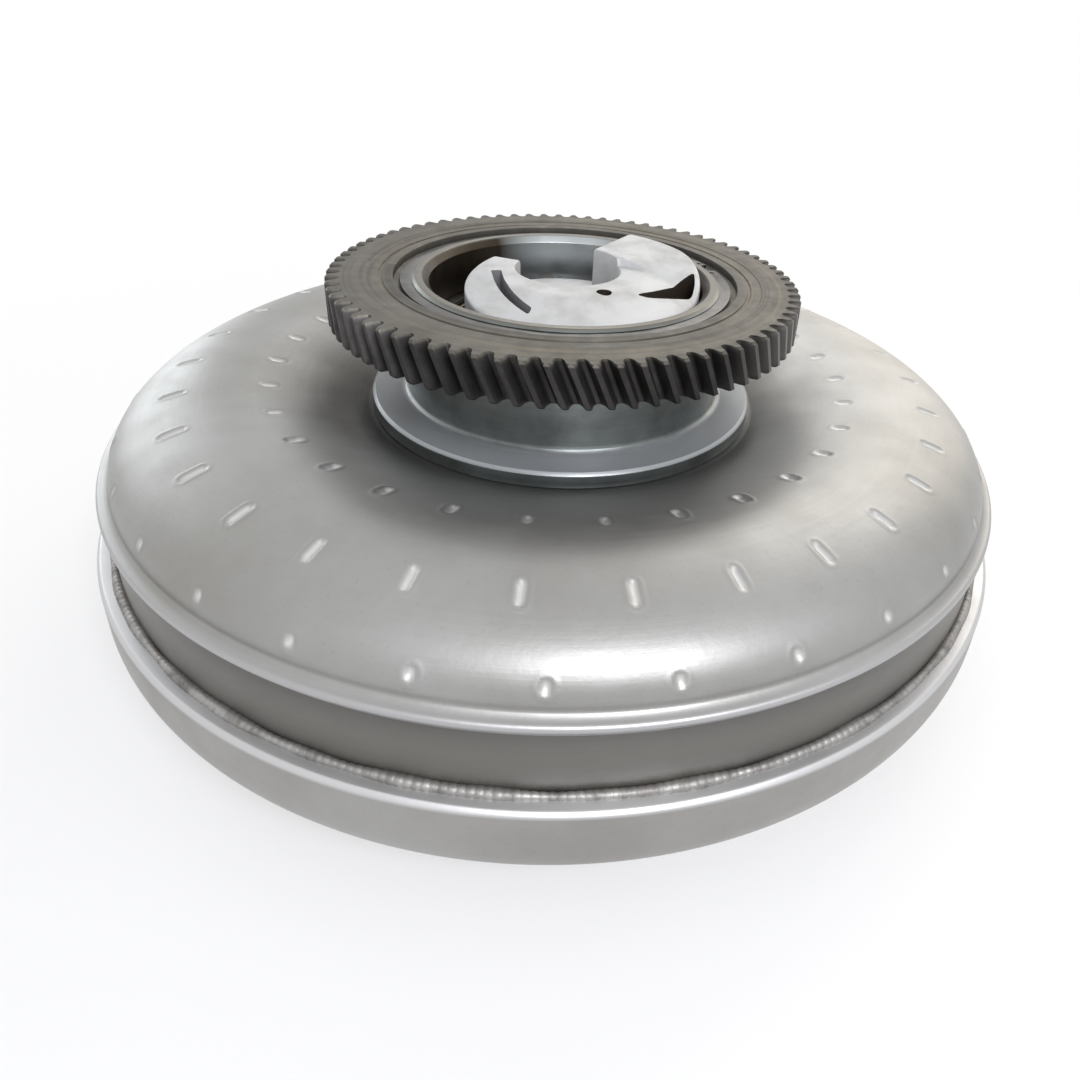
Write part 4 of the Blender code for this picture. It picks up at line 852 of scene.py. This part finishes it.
def make_hub(finishes):
    """The impeller hub with flange, neck, spigot and bearing seat, and the two retaining rings."""
    spigot = HUB_SPIGOT_RADIUS
    neck_low = flange_low + HUB_FLANGE
    floor = hub_low + HUB_FLOOR
    groove_low = gear_top - GEAR_RECESS_DEPTH
    groove_top = groove_low + SNAP_RING + 2 * SEAT_GAP
    groove = spigot - GEAR_RING_GROOVE
    seat = bearing_outer + SEAT_GAP
    ledge = seat - BEARING_LEDGE
    eye = SLEEVE_RADIUS + SLEEVE_CLEARANCE
    shell_seat = SHELL_BORE - HUB_SHELL_GAP
    clip = HUB_BORE + BEARING_RING_GROOVE
    clip_low = bearing_top + SEAT_GAP
    clip_top = clip_low + SNAP_RING + 2 * SEAT_GAP
    outline = [(spigot - EDGE, spigot_top), (spigot, spigot_top - EDGE), (spigot, groove_top)]
    outline += [(groove, groove_top), (groove, groove_low), (spigot, groove_low)]
    outline += [(spigot, gear_low - SEAT_GAP), (HUB_NECK_RADIUS, gear_low - SEAT_GAP)]
    outline += arc((HUB_NECK_RADIUS + HUB_FILLET, neck_low + HUB_FILLET), HUB_FILLET, 180, 270, 7)
    outline += [(hub_flange_radius - EDGE, neck_low), (hub_flange_radius, neck_low - EDGE)]
    outline += [(hub_flange_radius, flange_low), (shell_seat, flange_low)]
    outline += [(shell_seat, hub_low), (eye, hub_low), (eye, floor), (ledge, floor)]
    outline += [(ledge, bearing_low - SEAT_GAP), (seat, bearing_low - SEAT_GAP), (seat, clip_low)]
    outline += [(clip, clip_low), (clip, clip_top), (HUB_BORE, clip_top)]
    outline += [(HUB_BORE, spigot_top - HUB_BORE_CHAMFER), (HUB_BORE + HUB_BORE_CHAMFER, spigot_top)]
    turned_skin("impeller_hub", outline, FINE_EDGE, finishes["hub"])
    inner = groove + SEAT_GAP
    low = groove_low + SEAT_GAP
    make_split_ring("gear_retaining_ring", inner, inner + SNAP_WIDTH, low, 20.0, finishes)
    inner = HUB_BORE - BEARING_RING_LIP
    outer = HUB_BORE + BEARING_RING_REACH
    low = clip_low + SEAT_GAP
    make_split_ring("bearing_retaining_ring", inner, outer, low, 100.0, finishes)


def make_split_ring(node, inner, outer, low, degrees, finishes):
    """A retaining ring with its gap at this angle and a pliers hole in each end."""
    middle = math.radians(degrees)
    start = math.degrees(middle + SNAP_OPENING / 2)
    end = math.degrees(middle - SNAP_OPENING / 2) + 360
    outline = arc((0.0, 0.0), outer, start, end, 120) + arc((0.0, 0.0), inner, end, start, 120)
    holes = []
    for side in (1, -1):
        centre = polar((inner + outer) / 2, middle + side * (SNAP_OPENING / 2 + SNAP_HOLE_ANGLE))
        holes.append(circle(SNAP_HOLE, 16, centre))
    mesh = drawn_mesh(node + "_skin", [outline] + holes, low, low + SNAP_RING, 0.0002, 2)
    new_skin(node, mesh, finishes["spring_steel"])


def tooth_profile(shrink):
    """One tooth of the gear as (share of the pitch, radius) points, thinner where it is chamfered."""
    tip = pitch_radius + GEAR_MODULE - shrink
    thin = shrink / GEAR_MODULE * 0.16
    half = [(0.405, gear_root), (0.335, gear_root + GEAR_ROOT_LAND)]
    half += [(0.295, pitch_radius - 0.6 * GEAR_MODULE), (0.245, pitch_radius)]
    half += [(0.185, pitch_radius + 0.55 * GEAR_MODULE), (0.120, tip)]
    half = [(share - thin * (radius > gear_root + 0.001), radius) for share, radius in half]
    left = [(-share, radius) for share, radius in half]
    return left + [(share, radius) for share, radius in reversed(half)]


def make_gear(finishes):
    """The left-hand helical gear: rounded teeth with chamfered ends, and turned rings on its face."""
    bore = HUB_SPIGOT_RADIUS + SEAT_GAP
    recess = gear_top - GEAR_RECESS_DEPTH
    face = gear_top - gear_low
    twist = face * math.tan(GEAR_HELIX) / pitch_radius
    pitch = FULL_TURN / GEAR_TEETH
    columns = GEAR_TEETH * TOOTH_POINTS
    levels = [(0.0, GEAR_CHAMFER)]
    levels += [(GEAR_CHAMFER + (face - 2 * GEAR_CHAMFER) * i / 10, 0.0) for i in range(11)]
    levels += [(face, GEAR_CHAMFER)]
    radius, height, angle = [], [], []

    def add_circle(ring_radius, ring_height, turn):
        radius.append(np.full(columns, ring_radius))
        height.append(np.full(columns, ring_height))
        even = FULL_TURN * (np.arange(columns) - TOOTH_POINTS / 2 + 0.5) / columns
        angle.append(even + turn)

    step = gear_top - GEAR_STEP
    rings = [(bore, recess), (GEAR_RECESS_RADIUS, recess)]
    rings += [(GEAR_RECESS_RADIUS, gear_top - GEAR_SOFT), (GEAR_RECESS_RADIUS + GEAR_SOFT, step)]
    groove = gear_top - GEAR_GROOVE_DEPTH
    rings += zip(GEAR_GROOVE, (step, groove, groove, step))
    rings += [(GEAR_STEP_RADIUS, step), (GEAR_STEP_RADIUS + GEAR_STEP, gear_top)]
    rings += [(gear_root - GEAR_ROOT_LAND, gear_top)]
    for ring_radius, ring_height in rounded_open(rings):
        add_circle(ring_radius, ring_height, 0.0)
    for depth, shrink in levels:
        share, tooth = np.array(tooth_profile(shrink)).T
        radius.append(np.tile(tooth, GEAR_TEETH))
        height.append(np.full(columns, gear_top - depth))
        shape = pitch * (np.arange(GEAR_TEETH)[:, None] + share).ravel()
        angle.append(shape + twist * depth / face)
    for ring_radius in (gear_root - GEAR_ROOT_LAND, GEAR_MIDDLE, bore + GEAR_SOFT):
        add_circle(ring_radius, gear_low, twist)
    add_circle(bore, gear_low + GEAR_SOFT, twist)
    add_circle(bore, (gear_low + recess) / 2, twist / 2)
    radius, height, angle = np.array(radius), np.array(height), np.array(angle)
    mesh = grid_mesh("drive_gear_skin", radius, height, angle)
    new_skin("drive_gear", mesh, finishes["gear"], SHARP_GEAR)


def rounded_open(points, share=0.12):
    """The line with a point close to each side of its corners, so that shading stays crisp there."""
    made = [points[0]]
    for before, here, after in zip(points, points[1:], points[2:]):
        for other in (before, after):
            made.append(Vector(here).lerp(Vector(other), share))
    return made + [points[-1]]


def make_bearing(finishes):
    """The deep-groove ball bearing: two rings with their tracks, and the cage with its balls."""
    circle_radius = (bearing_outer + BEARING_BORE) / 2
    middle = (bearing_low + bearing_top) / 2
    land_outer = circle_radius + BEARING_LAND
    land_inner = circle_radius - BEARING_LAND
    half = math.degrees(math.acos(BEARING_LAND / BEARING_TRACK))
    outer = [(bearing_outer, bearing_top), (bearing_outer, bearing_low), (land_outer, bearing_low)]
    outer += arc((circle_radius, middle), BEARING_TRACK, -half, half, 9)
    outer += [(land_outer, bearing_top)]
    turned_skin("bearing_outer_ring", outer, BEARING_EDGE, finishes["bearing_steel"])
    inner = [(land_inner, bearing_top)]
    inner += arc((circle_radius, middle), BEARING_TRACK, 180 - half, 180 + half, 9)
    inner += [(land_inner, bearing_low), (BEARING_BORE, bearing_low), (BEARING_BORE, bearing_top)]
    turned_skin("bearing_inner_ring", inner, BEARING_EDGE, finishes["bearing_steel"])
    cage = []
    for side, end in ((1, 1), (1, -1), (-1, -1), (-1, 1)):
        cage.append((circle_radius + side * CAGE_WALL / 2, middle + end * CAGE_HEIGHT / 2))
    whole = bmesh.new()
    whole.from_mesh(turned_mesh("cage", rounded(cage, 0.0003)))
    for i in range(BEARING_BALLS):
        place = Matrix.Translation(polar(circle_radius, FULL_TURN * i / BEARING_BALLS, middle))
        bmesh.ops.create_uvsphere(whole, u_segments=32, v_segments=20, radius=BEARING_BALL, matrix=place)
    mesh = mesh_from(whole, "bearing_cage_with_balls_skin")
    new_skin("bearing_cage_with_balls", mesh, finishes["bearing_steel"])


def make_support(finishes):
    """The stator support's plate: open at the back, with climbing land, ports and spigot."""
    low = bearing_top + PLATE_CLEARANCE
    spigot = BEARING_BORE - SEAT_GAP
    shoulder_top = low + SPIGOT_SHOULDER_HEIGHT
    seat = SLEEVE_RADIUS + SEAT_GAP
    shoulder = spigot + SPIGOT_SHOULDER
    outline = [(shoulder, shoulder_top), (shoulder, bearing_top + SEAT_GAP)]
    outline += [(spigot, bearing_top + SEAT_GAP), (spigot, bearing_low), (seat, bearing_low)]
    outline += [(seat, low + SEAT_GAP), (PLATE_EYE, low + SEAT_GAP), (PLATE_EYE, shoulder_top)]
    plate = plate_mesh(low)
    ring = turned_mesh("spigot", outline, 192)
    for mesh in (plate, ring):
        mesh.materials.append(finishes["cast_aluminium"])
    mesh = combined(plate, [ring], "UNION")
    cutters = port_meshes(low + PLATE_EDGE - PORT_DEPTH + SPIGOT_SHOULDER_HEIGHT)
    for cutter, finish in zip(cutters, ("port", "slot", "port")):
        cutter.materials.append(finishes[finish])
    mesh = combined(mesh, cutters, "DIFFERENCE")
    new_skin("support_flange", mesh, None, SHARP_PLATE)


def plate_mesh(low):
    """The plate as sections side by side, from its spiral edge's end round to the land's end."""
    turns = []
    turn = float(PLATE_END)
    while turn < BOSS_END + 360:
        turns.append(turn)
        turn += PLATE_STEP_CLOSE if from_plate_end(turn) < PLATE_CLOSE else PLATE_STEP
    turns.append(BOSS_END + 360.0)
    shape = bmesh.new()
    sections = []
    for turn in turns:
        section = plate_section(turn, low)
        ring = [polar(radius, math.radians(turn), height) for radius, height in section]
        sections.append([shape.verts.new(point) for point in ring])
    count = len(sections[0])
    for here, there in zip(sections, sections[1:]):
        for i in range(count):
            j = (i + 1) % count
            shape.faces.new((here[i], here[j], there[j], there[i]))
    shape.faces.new(sections[0])
    shape.faces.new(list(reversed(sections[-1])))
    face_outwards(shape)
    return mesh_from(shape, "plate")


def from_plate_end(turn):
    """How many degrees an angle lies from the nearer end of the plate."""
    return min(turn - PLATE_END, BOSS_END + 360 - turn)


def plate_section(turn, low):
    """The plate's section at an angle: rounded at the rim, at the eye and down to its two ends."""
    outer = plate_edge(turn)
    away = math.radians(from_plate_end(turn)) * (PLATE_EYE + outer) / 2
    ease = max(0.0, 1 - away / PLATE_ROUND)
    drop = PLATE_ROUND * (1 - math.sqrt(1 - ease ** 2)) * PLATE_DROP
    section = [(PLATE_EYE, low), (outer - drop, low)]
    for i in range(RIM_POINTS):
        angle = math.pi / 2 * i / (RIM_POINTS - 1)
        radius = outer - drop - PLATE_ROUND * (1 - math.cos(angle))
        height = plate_height(radius, turn, low) - drop - PLATE_ROUND * (1 - math.sin(angle))
        section.append((radius, height))
    across = PLATE_EYE + PLATE_ROUND / 2 - radius
    for i in range(TOP_POINTS):
        inner = radius + across * (i + 1) / TOP_POINTS
        section.append((inner, plate_height(inner, turn, low) - drop))
    edge = section[-1][1]
    section += [(PLATE_EYE + PLATE_ROUND / 8, edge - PLATE_ROUND / 8)]
    return section + [(PLATE_EYE, edge - PLATE_ROUND / 2)]


def plate_edge(turn):
    """The plate's outer radius at an angle: a spiral at the left, then the full radius."""
    share = min((turn - PLATE_END) / (PLATE_START + 360 - PLATE_END), 1.0)
    start = PLATE_RADIUS * PLATE_SPIRAL
    return start + (PLATE_RADIUS - start) * share ** PLATE_GROWTH


def plate_height(radius, turn, low):
    """The height of the plate's upper side: a flat-topped cone, and the land that climbs."""
    edge_top = low + PLATE_EDGE
    land = PLATE_EYE + PLATE_LAND
    down = max(0.0, radius - land) / (PLATE_RADIUS - land)
    cone = edge_top + PLATE_RISE * (1 - down)
    share = (turn - 360 - BOSS_START) / (BOSS_FLAT - BOSS_START)
    if share <= 0:
        return cone
    share = min(share, 1.0)
    inner = PLATE_RADIUS - (PLATE_RADIUS - PLATE_EYE + BOSS_REACH) * (1 + 3 * share) / 4
    foot = edge_top - PLATE_ROUND
    climb = foot + (boss_top - foot) * math.sin(share * math.pi / 2)
    reach = min(1.0, max(0.0, (radius - inner) / PLATE_ROUND + 0.5))
    return cone + max(0.0, climb - cone) * reach * reach * (3 - 2 * reach)


def port_meshes(floor):
    """The solids that cut the ports: a wedge at the right, a curved slot and one small hole."""
    top = boss_top + 0.002
    circle_radius = PLATE_RADIUS - PORT_WALL
    wedge = [polar(share * circle_radius, math.radians(angle)) for share, angle in WEDGE_PORT]
    slot_inner, slot_outer = SLOT_SPIRAL
    slot = []
    for side in (1, -1):
        for i in range(13):
            share = i / 12 if side > 0 else 1 - i / 12
            radius = circle_radius * (slot_inner + (slot_outer - slot_inner) * share ** 1.7)
            angle = math.radians(SLOT_START + (SLOT_END - SLOT_START) * share)
            slot.append(polar(radius + side * SLOT_WIDTH / 2, angle))
    share, angle = SMALL_PORT_PLACE
    hole = circle(SMALL_PORT, 32, polar(share * circle_radius, math.radians(angle)))
    loops = (smooth_loop(wedge), smooth_loop(slot), hole)
    return [drawn_mesh("port", [loop], floor, top) for loop in loops]


def smooth_loop(points, rounds=3, cut=0.18):
    """The closed outline with its corners cut a few times, which leaves them soft."""
    loop = [Vector(point) for point in points]
    for _ in range(rounds):
        sides = list(zip(loop, loop[1:] + loop[:1]))
        loop = [here.lerp(after, share) for here, after in sides for share in (cut, 1 - cut)]
    return loop


def make_springs(finishes):
    """The clutch springs, copied from their CAD nodes and given the spring steel finish."""
    for i in range(ROLLERS):
        name = f"clutch_spring_{i + 1}"
        node = frame["nodes"][name]
        mesh = node.data.copy()
        mesh.transform(node.matrix_world)
        piece = new_skin(name, mesh, finishes["spring_steel"])
        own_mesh(piece)


def make_cover_fittings(finishes):
    """The mounting lugs and the pilot on the cover's engine side."""
    hole = circle(LUG_HOLE, 48)
    x = LUG_WIDTH / 2 - LUG_CORNER
    y = LUG_LENGTH / 2 - LUG_CORNER
    outline = []
    for start, centre in ((0, (x, y)), (90, (-x, y)), (180, (-x, -y)), (270, (x, -y))):
        outline += arc(centre, LUG_CORNER, start, start + 90, 8)
    low, top, _ = sides_of("mounting_lug_1")
    blank = drawn_mesh("lug", [outline, hole], low, top, 0.0006, 3)
    for i in range(LUG_COUNT):
        turn = FULL_TURN * i / LUG_COUNT
        place = Matrix.Translation(polar(LUG_CIRCLE, turn, 0.0))
        mesh = blank.copy()
        mesh.transform(place @ Matrix.Rotation(turn, 4, "Z"))
        new_skin(f"mounting_lug_{i + 1}", mesh, finishes["machined_steel"])
    _, top, lip_radius = sides_of("pilot_boss")
    socket = PILOT_RADIUS - PILOT_WALL
    floor = top - PILOT_SOCKET
    lip_low = top - PILOT_FLANGE
    hole_radius, hole_bottom, hole_depth = CENTRE_HOLE
    outline = [(0.0, floor), (socket, floor), (socket, top), (lip_radius, top), (lip_radius, lip_low)]
    outline += [(PILOT_RADIUS, lip_low), (PILOT_RADIUS, PILOT_CHAMFER)]
    outline += [(PILOT_RADIUS - PILOT_CHAMFER, 0.0), (hole_radius, 0.0)]
    outline += [(hole_bottom, hole_depth), (0.0, hole_depth)]
    turned_skin("pilot_boss", outline, FINE_EDGE, finishes["machined_steel"])


def dress_frame(finishes):
    """Gives the CAD nodes that stay visible the finish of their slot."""
    for name, node in frame["nodes"].items():
        if node.hide_render:
            continue
        node.data.materials.clear()
        node.data.materials.append(finishes[slots[name]])


def make_floor():
    mesh = bpy.data.meshes.new("floor")
    side = 40.0
    corners = [(-side, -side, 0.0), (side, -side, 0.0), (side, side, 0.0), (-side, side, 0.0)]
    mesh.from_pydata(corners, [], [(0, 1, 2, 3)])
    mesh.materials.append(floor_finish())
    new_object("floor", mesh)


def make_lamp(name, place, aim, size, power, colour):
    data = bpy.data.lights.new(name, "AREA")
    data.shape = "RECTANGLE"
    data.size, data.size_y = size
    data.energy = power
    data.color = colour
    lamp = new_object(name, data)
    lamp.location = place
    lamp.rotation_mode = "QUATERNION"
    lamp.rotation_quaternion = (Vector(aim) - Vector(place)).to_track_quat("-Z", "Y")


def make_light():
    """Soft lamps above and at both sides, and a world that is white where it is seen or mirrored."""
    aim = (0.0, 0.0, 0.08)
    make_lamp("front_lamp", (0.26, -0.92, 0.92), aim, (0.55, 0.4), 11.0, (0.93, 0.94, 1.0))
    make_lamp("back_lamp", (0.45, 1.0, 0.95), aim, (1.4, 0.4), 5.0, (1.0, 0.96, 0.89))
    make_lamp("right_lamp", (0.80, 0.85, 0.40), aim, (0.8, 0.5), 1.6, (1.0, 0.88, 0.72))
    make_lamp("left_lamp", (-0.95, 0.75, 0.36), aim, (0.6, 0.5), 2.6, (0.90, 0.95, 1.0))
    world = bpy.data.worlds.new("studio")
    bpy.context.scene.world = world
    world.use_nodes = True
    tree = world.node_tree
    background = tree.nodes["Background"]
    mix = tree.nodes.new("ShaderNodeMix")
    mix.data_type = "FLOAT"
    mix.inputs[2].default_value = 0.55
    mix.inputs[3].default_value = 1.0
    tree.links.new(seen_directly(tree), mix.inputs[0])
    tree.links.new(mix.outputs[0], background.inputs["Strength"])
    background.inputs["Color"].default_value = (1.0, 1.0, 1.0, 1.0)


def make_camera():
    """The photograph's view. The turn corrects a level camera that looks down at the rim's middle."""
    data = bpy.data.cameras.new("photo_camera")
    data.sensor_width = 36.0
    data.lens = data.sensor_width * FOCAL_PIXELS / IMAGE_SIDE
    data.shift_x = (IMAGE_SIDE / 2 - CENTRE_PIXEL[0]) / IMAGE_SIDE
    data.shift_y = (CENTRE_PIXEL[1] - IMAGE_SIDE / 2) / IMAGE_SIDE
    data.clip_start = 0.01
    camera = new_object("photo_camera", data)
    cosine, sine = math.cos(CAMERA_PITCH), math.sin(CAMERA_PITCH)
    level = Matrix(((1.0, 0.0, 0.0), (0.0, sine, -cosine), (0.0, cosine, sine)))
    pitch, yaw, roll = CAMERA_TURN
    turn = Matrix.Rotation(pitch, 3, "X") @ Matrix.Rotation(yaw, 3, "Y") @ Matrix.Rotation(roll, 3, "Z")
    camera.matrix_world = Matrix.Translation(CAMERA_PLACE) @ (level @ turn).to_4x4()
    bpy.context.scene.camera = camera


def build():
    finishes = make_finishes()
    make_shell(finishes)
    make_cover(finishes)
    make_weld(finishes)
    make_hub(finishes)
    make_gear(finishes)
    make_bearing(finishes)
    make_support(finishes)
    make_springs(finishes)
    make_cover_fittings(finishes)
    dress_frame(finishes)
    make_floor()
    make_light()
    make_camera()
    bpy.context.scene.view_settings.view_transform = "Standard"


build()
